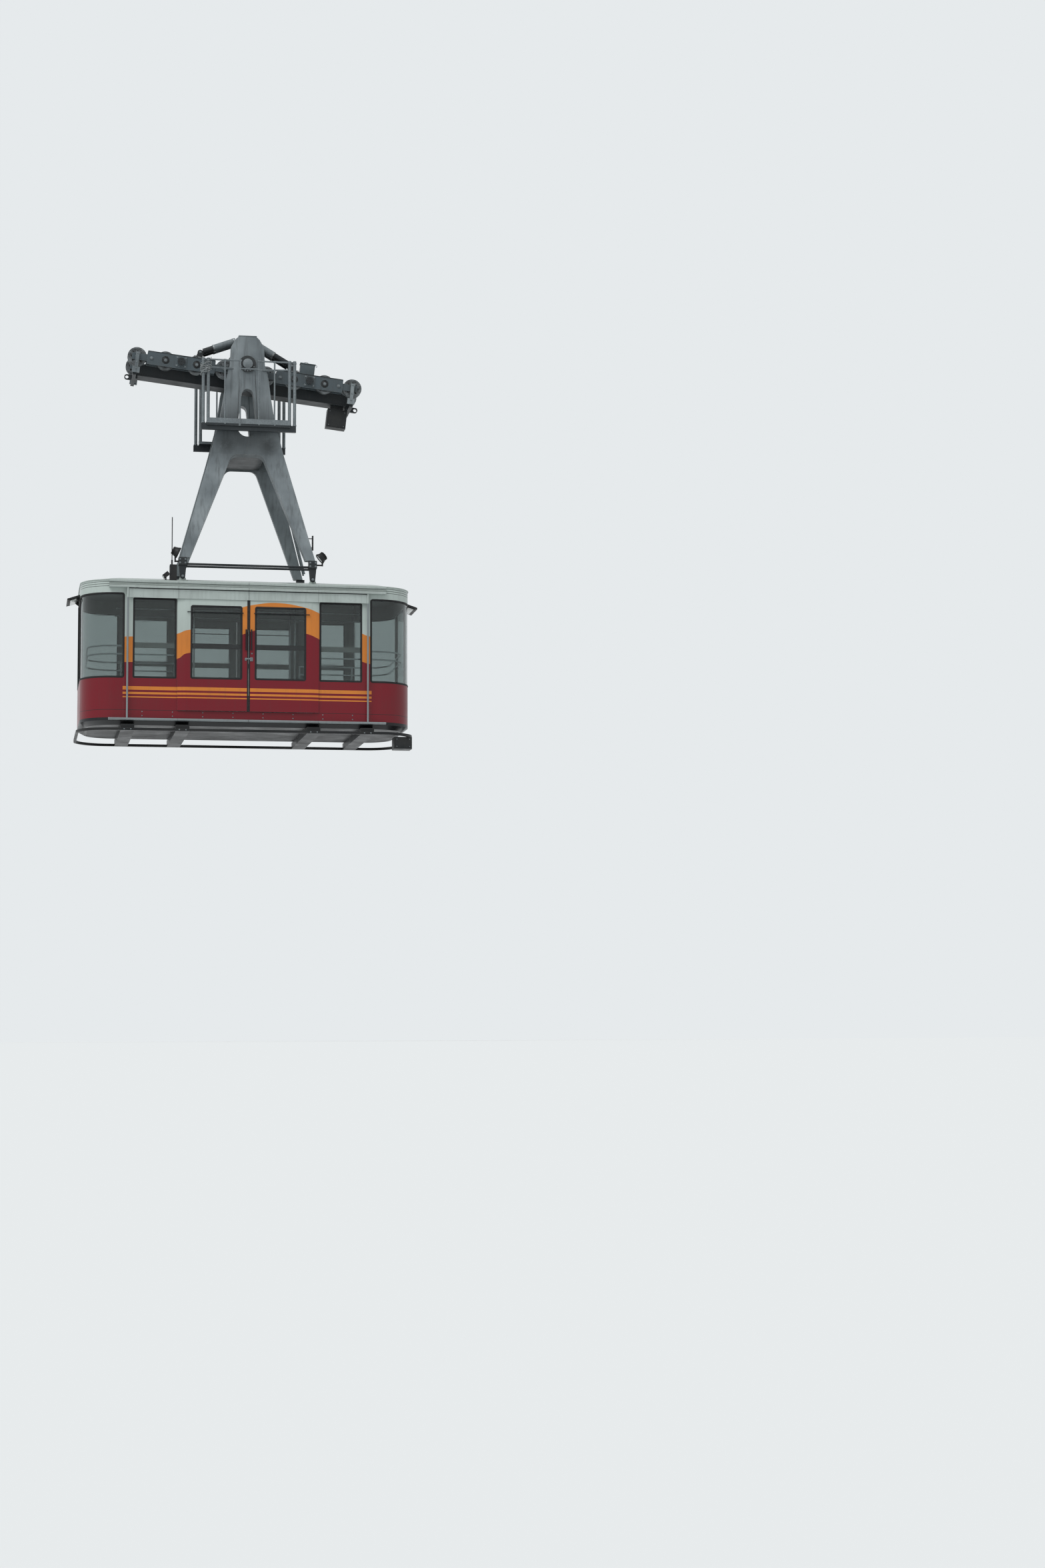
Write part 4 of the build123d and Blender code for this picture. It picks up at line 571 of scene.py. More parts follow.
# %% [markdown]
# Rubber, plastics and glass
#
# Gaskets are black rubber, the boxes are cast or moulded shells, and the lamps have clear plastic lenses.
# They are plain colours with their own dust and shine. The panes are grey float glass. A see-through surface
# could be faked by mixing in nothing, but transmission keeps tint, dust and reflection together.

# %% Rubber, boxes and lamps
SENSOR_X = 1.4                  # the sensor box lies past here, the junction box before


def box_colours(tree, place):
    """Grey on the junction box, black on the sensor box at the downhill end."""
    x = put(tree, "SeparateXYZ", (place,), "X")
    return painted(tree, "#4f595d", ("#14171a", ("GREATER_THAN", x, SENSOR_X)))


# A matt black line round every pane, which draws the windows from afar.
rubber = recipe("moulded_black_rubber", "#17181a", stain="#3a3a38", stain_mm=150, wear="#3f4040",
                wear_share=0.3, edge_mm=2, rough=0.62, grain_mm=1.5, grain_height=0.3, specular=DULL)
# Flat moulded faces with grey weather stains, softer than the steel they are screwed to.
box_dark = recipe("moulded_dark_polyester", box_colours, stain="#4f504c", stain_mm=250, streak_share=0.3,
                  wear="#7d8280", wear_share=0.3, rough=0.5, grain_mm=2, specular=DULL)
# A black casting with dusty faces and grey corners.
box_black = recipe("cast_box_black", "#1f2224", stain="#4c4a45", stain_mm=200, stain_share=0.3,
                   wear="#6f706e", specular=DULL)
# The same black on thin shells, with finer dust, so that lamps look small.
lamp_shell = recipe("powder_coat_lamp", "#1b1c1e", stain="#45433f", stain_mm=120, stain_share=0.3,
                    wear="#6a6a68", grain_mm=2, specular=DULL)
# A pale glossy disc with a ripple, bright in the dark shell around it.
lens = recipe("moulded_polycarbonate_lens", "#c8ccc9", stain="#8f918c", stain_mm=90, stain_share=0.25,
              wear_share=0, rough=0.16, rough_spread=0.05, grain_mm=5, grain_height=0.4, coat=0.5)
print("rubber and plastics ready")

# %% Studded floor and tinted glass
def floor_studs(tree, place):
    """Round studs 25 mm apart on a rubber floor: the cell pattern's distance to the nearest stud."""
    studs = put(tree, "TexVoronoi", {"Vector": place, "Scale": 1000 / 25, "Randomness": 0.0}, "Distance")
    share = put(tree, "MapRange", {"Value": studs, "From Min": 0.25, "From Max": 0.4})
    return painted(tree, "#5b5f61", ("#3b3f42", share))


def tinted_glass():
    """Grey float glass tinted in the melt: light goes straight through and loses much of its strength. Dust
    dulls it in patches of about 400 mm, and a slow wave bends what it mirrors."""
    material = bpy.data.materials.new("tinted_float_glass")
    tree = emptied(material)
    place = put(tree, "TexCoord", out="Object")
    dust = put(tree, "TexNoise", {"Vector": place, "Scale": 2.5, "Detail": 6.0})
    haze = put(tree, "MapRange", {"Value": dust, "From Min": 0.45, "From Max": 0.75, "To Min": 0.02,
                                  "To Max": 0.13})
    tint = painted(tree, "#aeb7b6", ("#9ba19e", haze))
    wave = put(tree, "TexNoise", {"Vector": place, "Scale": 1.6, "Detail": 1.0})
    bump = put(tree, "Bump", {"Height": wave, "Strength": 0.08, "Distance": 0.01})
    shader = put(tree, "BsdfPrincipled", {"Base Color": tint, "Roughness": haze, "Transmission Weight": 1.0,
                                          "IOR": 1.45, "Normal": bump})
    put(tree, "OutputMaterial", {"Surface": shader}, None)
    return material


# A dark, dotted mat that is seen through the doors and the low windows.
floor_rubber = recipe("studded_rubber_floor", floor_studs, stain="#2b2b29", stain_mm=500, stain_share=0.4,
                      wear_share=0, rough=0.6)
# Panes a shade darker than what is behind them, with a faint wave in what they reflect.
glass = tinted_glass()
print("materials so far:", len(bpy.data.materials))

# %% Dress the solids
# The soffit box (hanger_links) is painted near-black as its shade.
DRESS = ((dark_paint_and_painted_shade, "carriage_girder pivot_pins end_yokes damper_brackets damper_barrels_ hanger_links"),
         (dark_paint_and_painted_shade, "hanger_feet"), (hanger_paint, "rope_guides damper_rods_ hanger_frame_"),
         # The underframe's near-black stands for the shade under the cabin.
         (black_coat_and_painted_shade, "underframe cross_beams bumper_ring"), (bogie_paint, "bogie_"),
         (wheel_casting, "wheel_"), (zinc_deck_and_painted_shade, "platforms"), (zinc, "ladder"), (stainless, "handrails"),
         (box_dark, "carriage_boxes"), (box_black, "control_box"), (lamp_shell, "roof_equipment lamps"),
         (coach_enamel, "side_frame_ end_wall_"), (door_enamel, "door_near_ door_far_"),
         (roof_enamel, "cabin_roof"), (track_finish, "door_tracks"), (floor_rubber, "cabin_floor"),
         (glass, "cabin_glass door_glass_"))
dress = {start: material for material, starts in DRESS for start in starts.split()}
for name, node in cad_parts.items():
    start = max((start for start in dress if name.startswith(start)), key=len)
    for place in node.material_slots:
        place.material = dress[start]
print("dressed nodes:", len(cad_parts))

# %% [markdown]
# Window gaskets
#
# Every fixed pane sits in a black rubber profile that laps over the panel and over the glass. The wall is
# flat along the sides and round at the corners, so a window's outline is drawn on the unrolled wall, as a
# way along it and a height, and one function rolls it back round the cabin. The lip is thin on the sides,
# because the doors slide past it.

# %% The unrolled wall and the gaskets
STRAIGHT = HALF_L - CORNER
END_START = STRAIGHT + CORNER * math.pi / 2     # way at which the end wall's flat begins
WINDOW_TOP, WINDOW_FOOT, CORNER_TOP = HEADER - 0.174, HEADER - 1.513, HEADER - 0.095
LIP_STEPS = 12                  # points on each stretch of an outline


def on_wall(way, out, z):
    """From the middle of the near side: straight on, then round the corner by way / radius, then straight
    along the end. Out is outwards."""
    turn = np.clip((way - STRAIGHT) / CORNER, 0, np.pi / 2)
    x = np.clip(way, None, STRAIGHT) + CORNER * np.sin(turn) + out * np.sin(turn)
    y = -(HALF_W - CORNER) - (CORNER + out) * np.cos(turn) + np.clip(way - END_START, 0, None)
    return row(x, y, z)


def gasket(way0, way1, z0, z1, corner, proud, face=0.0):
    """A lip carried round a window: each point of the section moves across the outline on the unrolled wall,
    and out from it."""
    outline = oblong(way1 - way0, z1 - z0, corner, steps=6) + [(way0 + way1) / 2, (z0 + z1) / 2]
    share = np.linspace(0, 1, LIP_STEPS, endpoint=False)[:, None]
    loop = (outline[:, None] + (np.roll(outline, -1, 0) - outline)[:, None] * share).reshape(-1, 2)
    along = unit(np.roll(loop, -1, 0) - np.roll(loop, 1, 0))
    across = np.stack([along[:, 1], -along[:, 0]], axis=1)
    lip = np.array([(-0.016, -0.010), (-0.016, -0.3 * proud), (-0.011, 0.6 * proud), (-0.004, proud),
                    (0.010, proud), (0.016, 0.6 * proud), (0.018, -0.001), (0.0, -0.010)])
    way, z = np.moveaxis(loop[:, None] + across[:, None] * lip[None, :, :1], 2, 0)
    return woven(on_wall(way, face + lip[:, 1], z), wrap_rows=True, wrap_columns=True)


sides = four_corners(gasket(1.230, 1.933, WINDOW_FOOT, WINDOW_TOP, 0.012, 0.0015))
corners = four_corners(gasket(2.104, END_START + 0.055, WINDOW_FOOT, CORNER_TOP, 0.03, 0.006))
middle = gasket(END_START + 0.115, END_START + 1.095, WINDOW_FOOT, CORNER_TOP, 0.03, 0.006)
made("window_gaskets", joined(sides, corners, middle, flipped(middle, x=-1)), rubber)
print("gasket faces:", shown[-1])

# %% [markdown]
# Doors
#
# Two leaves meet in the middle of each side. Each has its own window lip, and a hollow rubber nose along its
# leading edge that gives way when something is in the gap. Below the handle, a latch on the right leaf hooks
# over a keeper on the left one. All of these ride on their leaf, so they slide with it.

# %% Lips, noses and locks on the four leaves
LEAF_FACE = -(HALF_W + FACE) + 0.0005
LATCH_Z = HEADER - 1.176
NOSE = [(-0.011, -0.001), (-0.011, 0.002), (-0.006, 0.005), (0.0, 0.006), (0.006, 0.005), (0.011, 0.002),
        (0.011, -0.001)]
BARREL = [(0, 0.0), (0.014, 0.0), (0.014, 0.009), (0.011, 0.012), (0.004, 0.012), (0.003, 0.010), (0, 0.010)]
door_lip = gasket(0.122, 0.965, WINDOW_FOOT, HEADER - 0.284, 0.022, 0.003, FACE)
nose_path = row(0.0145, LEAF_FACE - 0.001, np.linspace(HEADER - 2.066, HEADER - 0.164, 40))
nose = drawn(nose_path, NOSE, (0, -1, 0))
latch = cushioned(0.052, 0.066, 0.010, 0.012, 0.003, (0.048, LEAF_FACE, LATCH_Z))
hook = cushioned(0.108, 0.026, 0.010, 0.007, 0.002, (-0.008, LEAF_FACE - 0.0115, LATCH_Z + 0.008))
keeper = cushioned(0.034, 0.050, 0.008, 0.009, 0.002, (-0.046, LEAF_FACE, LATCH_Z))
lock_barrel = spun(BARREL, (0.056, LEAF_FACE, LATCH_Z + 0.099))
for side, y in (("near", 1), ("far", -1)):
    for end, x in (("right", 1), ("left", -1)):
        body = f"door_{side}_{end}"
        made(f"{body}_lip", flipped(joined(door_lip, nose), x, y), rubber, body)
    lock = flipped(joined(latch, hook, lock_barrel), 1, y)
    made(f"door_{side}_lock", lock, zinc, f"door_{side}_right")
    made(f"door_{side}_keeper", flipped(keeper, 1, y), zinc, f"door_{side}_left")
print("pieces on the doors:", len(shown) - 1)

# %% [markdown]
# Rivets, roof ribs and a dark bead
#
# The skirt is riveted to the floor frame every half metre. The strip that hides the door gear is folded
# aluminium with long ribs, and a black rubber bead fills the gap below it, standing in for the gap's shade.
# One small shape is copied for the rivets, and one section is carried along a line for the rest, as a press
# or an extruder would make them.

# %% Skirt rivets, ribs of the strip and the dark bead in its gap
RIVET = [(0.0, -0.002), (0.011, -0.002), (0.011, 0.001), (0.008, 0.004), (0.004, 0.0055), (0.0, 0.006)]
RIB = [(-0.006, -0.001), (-0.005, 0.003), (0.0, 0.005), (0.005, 0.003), (0.006, -0.001)]
RIBS = ((0.019, 0.0), (0.050, 0.022), (0.065, 0.022), (0.080, 0.022), (0.111, 0.0))    # height, recess
STRIP_OUT, STRIP_END, SHADE_BEAD_END = HALF_W + 0.097, HALF_L - 0.463, 2.038
spots = grid_of(np.arange(0.255, 2.2, 0.51), [-HALF_W], [HEADER - 2.10, HEADER - 2.17])
made("skirt_rivets", four_corners(copies(spun(RIVET, (0, 0, 0), steps=12), spots)), zinc)
rib_x = np.linspace(-STRIP_END + 0.002, STRIP_END - 0.002, 60)
ribs = joined(*[drawn(row(rib_x, recess - STRIP_OUT, HEADER + height), RIB, (0, -1, 0))
                for height, recess in RIBS])
made("strip_ribs", both_sides(ribs), roof_enamel)
# A black bead where the gap under the strip lies in shade: painted shade made solid.
shade_bead_line = row(np.linspace(-SHADE_BEAD_END, SHADE_BEAD_END, 60), -(HALF_W + 0.0615), HEADER - 0.006)
made("door_gear_shade_bead", both_sides(drawn(shade_bead_line, circle(0.008, 8), (0, 0, 1))), rubber)
print("rivets:", 4 * len(spots), "ribs:", 2 * len(RIBS))

# %% [markdown]
# Gutter
#
# A half-round bead runs round the edge of the roof and keeps rain off the windows. Only its outside shows, so
# it is one round section on a closed line: a quarter of the cabin's plan, mirrored twice.

# %% Gutter round the edge of the roof
quarter = on_wall(np.linspace(0.0, END_START + HALF_W - CORNER, 90), 0.004, HEADER + 0.138)
half = np.concatenate([quarter, quarter[::-1][1:] * [1, -1, 1]])
loop = np.concatenate([half[:-1], (half * [-1, 1, 1])[::-1][:-1]])
made("roof_gutter", drawn(loop, circle(0.009, 10), (0, 0, 1), closed=True), roof_enamel)
print("gutter points:", len(loop))

# %% [markdown]
# Bolts and the carriage's own directions
#
# The carriage stands on a slope that runs down to the right, so its parts are easiest to place along the
# slope and square to it. One function turns such places into the model's frame. A bolt is two spun profiles:
# a round washer, and a six-sided head that is spun in only six steps.

# %% The turn onto the slope, and bolt heads
SLOPE = math.radians(6.23)
PIVOT_N = 0.236                 # the pivot's height above the wheels' track, square to the slope
PIVOT_Z = PIVOT_N / math.cos(SLOPE)


def on_slope(shape):
    """Turns (along, across, above) about the pivot: x = along cos + (above - pivot) sin, and
    z = pivot - along sin + (above - pivot) cos."""
    along, across, above = shape[0].T
    above = above - PIVOT_N
    x = along * math.cos(SLOPE) + above * math.sin(SLOPE)
    z = PIVOT_Z - along * math.sin(SLOPE) + above * math.cos(SLOPE)
    return row(x, across, z), shape[1]


def bolt(radius, axis=(0, -1, 0)):
    """A washer and a chamfered six-sided head at the origin, both spun about the axis."""
    r = radius
    washer = [(0, -0.001), (1.3 * r, -0.001), (1.3 * r, 0.12 * r), (1.2 * r, 0.2 * r), (0, 0.2 * r)]
    head = [(0, 0.1 * r), (r, 0.1 * r), (r, 0.75 * r), (0.84 * r, 0.9 * r), (0, 0.9 * r)]
    return joined(spun(washer, (0, 0, 0), axis, 16), spun(head, (0, 0, 0), axis, 6))


def bolts(radius, *ranges, axis=(0, -1, 0)):
    """The same bolt at every combination of the given coordinates."""
    return copies(bolt(radius, axis), grid_of(*ranges))


print("bolt faces:", len(bolt(0.01)[1]))

# %% [markdown]
# Bogies and wheels
#
# Each bogie has two side plates with a square flange round its pivot. The flange is bolted on at its corners,
# the two small beams turn on big bolts, and every axle ends in a nut. The wheels are cast with a ring of
# holes. The holes are drawn as dimples painted dark as the shade inside a hole, with a raised lip that
# catches the light.

# %% Bolts, hubs, top strips and lifting eyes on the bogies
BOGIE_U, BOGIE_N, WHEEL_N, TRACK_Y = 1.125, 0.175, 0.170, 0.350     # along, above and across the slope
PLATE_OUT, BEAM_OUT, FLANGE_OUT = TRACK_Y + 0.072, TRACK_Y + 0.082, TRACK_Y + 0.084
AXLES = np.array([-0.763, -0.270, 0.270, 0.763])
BEAMS = np.array([-0.5165, 0.5165])
FLANGE = np.array([-0.072, 0.072])
BOGIES = [(side, s, end, u) for side, s in (("near", -1), ("far", 1))
          for end, u in (("left", -BOGIE_U), ("right", BOGIE_U))]
HUB = [(0, 0.004), (0.052, 0.004), (0.057, 0.001), (0.057, -0.001), (0, -0.001)]
STRIP = [(-0.016, -0.002), (-0.016, 0.004), (-0.013, 0.006), (0.013, 0.006), (0.016, 0.004), (0.016, -0.002)]
sweep = np.linspace(0, np.pi, 15)
eye_path = row(0.235 + 0.032 * np.sign(np.cos(sweep)) * np.abs(np.cos(sweep)) ** 0.4, 0.0,
               BOGIE_N + 0.112 + 0.045 * np.sin(sweep) ** 0.5)
for side, s, end, u in BOGIES:
    body = f"bogie_{side}_{end}"
    out = (0, s, 0)
    hubs = copies(spun(HUB, (0, 0, 0), out, 32), grid_of(u + AXLES[1:3], [s * PLATE_OUT], [WHEEL_N]))
    made(f"{body}_hubs", on_slope(hubs), black_coat_and_painted_shade, body)
    flange = bolts(0.014, u + FLANGE, [s * FLANGE_OUT], BOGIE_N + FLANGE, axis=out)
    beams = bolts(0.021, u + BEAMS, [s * BEAM_OUT], [WHEEL_N], axis=out)
    axles = bolts(0.024, u + AXLES, [s * PLATE_OUT], [WHEEL_N], axis=out)
    made(f"{body}_bolts", on_slope(joined(flange, beams, axles)), zinc, body)
    run = np.linspace(u - 0.584, u + 0.584, 24)
    strips = [drawn(row(run, s * (TRACK_Y + across), BOGIE_N + 0.115), STRIP, (0, 0, 1))
              for across in (0.064, -0.064)]
    inwards = -1 if end == "right" else 1
    eye = drawn(eye_path * [inwards, 1, 1] + [u, s * (TRACK_Y + 0.064), 0], circle(0.005, 8), (0, 1, 0))
    made(f"{body}_strips", on_slope(joined(*strips, eye)), dark_paint_and_painted_shade, body)
print("pieces so far:", len(shown))

# %% Ring of holes in each wheel's two faces
HOLE_RING, FACE_OUT, HUB_OUT = 0.098, 0.028, 0.040
HOLE = [(0, 0.0004), (0.0125, 0.0004), (0.0140, 0.0020), (0.0165, 0.0020), (0.0175, -0.001), (0, -0.001)]
HUB_RING = [(0.044, -0.001), (0.044, 0.003), (0.047, 0.004), (0.051, 0.001), (0.051, -0.001),
            (0.044, -0.001)]
turn = np.arange(8) * np.pi / 4
for side, s, end, u in BOGIES:
    for number, offset in enumerate(AXLES, start=1):
        body = f"wheel_{side}_{end}_{number}"
        faces = []
        for face in (-1, 1):
            ring = row(u + offset + HOLE_RING * np.cos(turn), s * TRACK_Y + face * FACE_OUT,
                       WHEEL_N + HOLE_RING * np.sin(turn))
            faces.append(copies(spun(HOLE, (0, 0, 0), (0, face, 0), 12), ring))
            centre = (u + offset, s * TRACK_Y + face * HUB_OUT, WHEEL_N)
            faces.append(spun(HUB_RING, centre, (0, face, 0), 24))
        # The dimples' near-black is the painted shade of holes that go through.
        made(f"{body}_holes", on_slope(joined(*faces)), black_coat_and_painted_shade, body)
print("faces on a wheel:", shown[-1])

# %% [markdown]
# Pins, yokes, dampers and boxes
#
# The hanger swings on one great pin with a pale cap, and four smaller caps close the bogies' axles. The yokes
# are bolted on the girder's ends. The dampers have clamp bands on their dust tubes. The grey box on top has a
# lid, a handle and a hook. All are small, so they are joined into one piece for each body and finish.

# %% Caps of the pins, bolts of the yokes and guides
CAP_OUT, AXLE_OUT = 0.778, 0.482
DOME = [(0, 0.012), (0.050, 0.011), (0.058, 0.006), (0.078, 0.006), (0.086, 0.002), (0.086, -0.001),
        (0, -0.001)]
NIPPLE = [(0, 0.012), (0.004, 0.011), (0.004, 0.006), (0.008, 0.004), (0.010, -0.001), (0, -0.001)]
DAMPER_U, DAMPER_N = 0.806, 0.480               # pins of the dampers' barrels
shafts, pins, bolted = [], [], []
for s in (-1, 1):
    out = (0, s, 0)
    shafts.append(spun(DOME, (0, s * CAP_OUT, PIVOT_Z), out, 40))
    for u in (-BOGIE_U, BOGIE_U):
        ring = row(u + 0.046 * np.cos(turn[::2]), s * AXLE_OUT, BOGIE_N + 0.046 * np.sin(turn[::2]))
        nipple = spun(NIPPLE, (u, s * AXLE_OUT, BOGIE_N), out, 12)
        pins.append(on_slope(joined(copies(bolt(0.009, out), ring), nipple)))
    bolted.append(bolts(0.014, [s * 1.8704], [-0.12, -0.06, 0.06, 0.12], [-0.045, 0.010], axis=(s, 0, 0)))
    bolted.append(bolts(0.012, [-1.8853, 1.8853], [s * 0.468], [-0.055, 0.06, 0.21], axis=out))
    bolted.append(bolts(0.019, [-DAMPER_U, DAMPER_U], [s * 0.137], [DAMPER_N], axis=out))
bolted.append(bolts(0.011, [-0.876, -0.736, 0.736, 0.876], [-0.138, 0.138], [0.3083], axis=(0, 0, 1)))
made("pin_caps", joined(*pins), dark_paint_and_painted_shade, "carriage")
made("shaft_caps", joined(*shafts), hanger_cap, "carriage")
made("carriage_bolts", on_slope(joined(*bolted)), zinc, "carriage")
print("faces of the carriage's bolts:", shown[-1])

# %% Clamp bands on the dampers' dust tubes
BAND = [(0.0598, 0), (0.0635, 0.002), (0.0635, 0.022), (0.0598, 0.024), (0.0598, 0)]
for end, side in (("left", -1), ("right", 1)):
    barrel_pins, _ = on_slope((np.array([[side * DAMPER_U, 0.0, DAMPER_N]]), None))
    rod_pin = np.array([side * 0.080, 0.0, PIVOT_Z + 0.592])
    way = unit(barrel_pins[0] - rod_pin)
    bands = [spun(BAND, rod_pin + way * reach + [0, y, 0], way, 32) for y in (-0.095, 0.095)
             for reach in (0.100, 0.478)]
    made(f"damper_bands_{end}", joined(*bands), machined_steel, f"damper_rods_{end}")
print("bands on each side:", len(bands))

# %% Lids, handle, hook and screws of the boxes
lid = cushioned(0.275, 0.170, 0.012, 0.014, 0.004, (1.0875, -0.085, 0.5445), up=(0, 1, 0))
door = cushioned(0.225, 0.215, 0.010, 0.006, 0.003, (1.0875, -0.1595, 0.412))
handle_path = row(1.06 + 0.05 * np.cos(sweep), -0.085, 0.552 + 0.040 * np.sin(sweep))
bend = np.linspace(np.pi, -0.35 * np.pi, 15)
hook_path = row(1.232 + 0.022 * np.cos(bend), -0.085, 0.545 + 0.022 * np.sin(bend))
wires = [drawn(path, circle(0.004, 8), (0, 1, 0)) for path in (handle_path, hook_path)]
sensor_lids = [cushioned(0.310, 0.290, 0.020, 0.006, 0.003, (1.703, s * 0.0995, -0.335), right=(-s, 0, 0))
               for s in (-1, 1)]
screws = [bolts(0.006, [1.57, 1.836], [s * 0.1053], [-0.458, -0.212], axis=(0, s, 0)) for s in (-1, 1)]
screws.append(bolts(0.005, [0.993, 1.182], [-0.1655], [0.322, 0.502]))
made("carriage_lids", on_slope(joined(lid, door, *wires)), box_dark, "carriage")
made("sensor_lids", on_slope(joined(*sensor_lids)), box_black, "carriage")
made("carriage_screws", on_slope(joined(*screws)), zinc, "carriage")
print("lids ready, pieces:", len(shown))

# %% [markdown]
# Hanger and platforms
#
# The hanger is welded from steel plate, so its seams show as low beads either side of its window. A plate
# caps its head. Round the pivot's dark ring runs an arc of bolts. The platforms' rails are joined by sleeves,
# and their posts stand in collars. Beads and sleeves could be painted on, but light gives them away at once.

# %% Weld beads, head plates and bolts of the hanger
FRAME_Y = -0.730                # the frames' outer face
FOOT_X = 1.112
POST_X = np.array([-0.403, -0.140, 0.182, 0.453])
BEAD = [(-0.007, -0.001), (-0.005, 0.003), (0.0, 0.0045), (0.005, 0.003), (0.007, -0.001)]
fall = np.linspace(0, 1, 30)
lines = [row(e * (0.128 + 0.052 * fall), FRAME_Y, 0.085 - 0.86 * fall) for e in (-1, 1)]
lines.append(row(0.0, FRAME_Y, -1.052 - 0.285 * fall))
seams = joined(*[drawn(line, BEAD, (0, -1, 0)) for line in lines])
made("weld_beads", both_sides(seams), hanger_paint)
head_plate = cushioned(0.316, 0.196, 0.012, 0.012, 0.004, (0, -0.640, 0.7295), up=(0, 1, 0))
made("head_plates", both_sides(head_plate), hanger_paint)
arc = np.radians(np.linspace(205, 335, 7))
ring_bolts = copies(bolt(0.010), row(0.119 * np.cos(arc), -0.752, PIVOT_Z + 0.119 * np.sin(arc)))
clamp_bolts = bolts(0.012, [-1.157, -1.067, 1.067, 1.157], [-1.045], [-3.335, -3.275])
eye_bolts = bolts(0.018, [-FOOT_X, FOOT_X], [-1.035], [-3.565])
cheek_bolts = bolts(0.018, [-0.080, 0.080], [-0.185], [PIVOT_Z + 0.592])
post_bolts = bolts(0.011, POST_X, [-0.952], [-0.872])
hanger_bolts = joined(ring_bolts, clamp_bolts, eye_bolts, cheek_bolts, post_bolts)
made("hanger_bolts", both_sides(hanger_bolts), zinc)
print("seams on each side:", len(lines), "faces of the bolts:", shown[-1])

# %% Sleeves and collars of the platforms' rails, and the joint of their curb
RAIL_Y = -0.896
SLEEVE = [(0.0145, 0), (0.0185, 0.002), (0.0185, 0.048), (0.0145, 0.050), (0.0145, 0)]
COLLAR = [(0.0285, 0), (0.034, 0.002), (0.034, 0.020), (0.0285, 0.022), (0.0285, 0)]
fittings = [copies(spun(SLEEVE, (0, 0, 0), (1, 0, 0), 16), grid_of(POST_X - 0.025, [RAIL_Y], [0.252])),
            copies(spun(SLEEVE, (0, 0, 0), (0, 0, 1), 16), grid_of(POST_X[1:3], [RAIL_Y], [0.085])),
            copies(spun(COLLAR, (0, 0, 0), (0, 0, 1), 24),
                   grid_of([-0.775, -0.690, 0.713, 0.800], [RAIL_Y], [-0.868, 0.225])),
            cushioned(0.032, 0.124, 0.004, 0.005, 0.002, (-0.150, -0.9515, -0.844))]
made("platform_fittings", both_sides(joined(*fittings)), zinc)
print("faces of the fittings:", shown[-1])

# %% [markdown]
# Chain
#
# A spare chain is wound round the two tubes of the near platform's uphill corner. It could be a tube with a
# chain's pattern on it, but each link throws its own shadow. The links are one small ring, laid along a
# winding path, and every second one is turned by a right angle.

# %% The chain on the platform's uphill corner
WIRE, LINK_LONG, LINK_WIDE = 0.0045, 0.040, 0.026
CHAIN_MIDDLE = (-0.7325, RAIL_Y)


def chain(path):
    """Rings of wire stand along a path so near that their ends cross, and every second ring is turned by a
    right angle. A ring is centre + x along + y first + z second, with x = (long / 2 - wire + wire cos b)
    cos a, y = (wide / 2 - wire + wire cos b) sin a and z = wire sin b."""
    length = np.concatenate([[0], np.cumsum(np.linalg.norm(np.diff(path, axis=0), axis=1))])
    stops = np.arange(0, length[-1], LINK_LONG - 2.2 * WIRE)
    centre = np.stack([np.interp(stops, length, path[:, k]) for k in range(3)], axis=1)
    along = unit(np.gradient(centre, axis=0))
    side = unit(np.cross(along, [0.0, 0.0, 1.0]))
    up = np.cross(side, along)
    odd = np.arange(len(stops))[:, None] % 2
    first, second = np.where(odd, side, up), np.where(odd, up, -side)
    a = np.linspace(0, 2 * np.pi, 12, endpoint=False)[:, None, None]
    b = np.linspace(0, 2 * np.pi, 6, endpoint=False)[None, :, None]
    x = (LINK_LONG / 2 - WIRE + WIRE * np.cos(b)) * np.cos(a)
    y = (LINK_WIDE / 2 - WIRE + WIRE * np.cos(b)) * np.sin(a)
    z = WIRE * np.sin(b) + 0 * a
    centre, along, first, second = (part[:, None, None] for part in (centre, along, first, second))
    points = centre + x * along + y * first + z * second
    return joined(*[woven(ring, wrap_rows=True, wrap_columns=True) for ring in points])


def winding(z0, z1, turns, wave, shift):
    """Round two tubes: an oval that goes down evenly, while a slow wave lifts and drops it as a slack chain
    does."""
    a = np.linspace(0, 2 * np.pi * turns, 60 * turns)
    x = CHAIN_MIDDLE[0] + 0.088 * np.cos(a)
    y = CHAIN_MIDDLE[1] + 0.050 * np.sin(a)
    return row(x, y, z0 + (z1 - z0) * a / a[-1] + wave * np.sin(a + shift))


chains = joined(chain(winding(0.19, 0.06, 4, 0.045, 0.4)), chain(winding(0.21, 0.00, 2, 0.085, 2.2)))
made("corner_chain", chains, machined_steel)
print("chain faces:", shown[-1])

# %% [markdown]
# Lamps
#
# Two round floodlights and a box light hang at the hanger's feet, and a long lamp sits above each end window.
# Each gets a pale lens, all but the box light a rim, and the round ones have cooling fins. They are spun or
# cushioned, as the real shells are cast and the lenses are pressed.

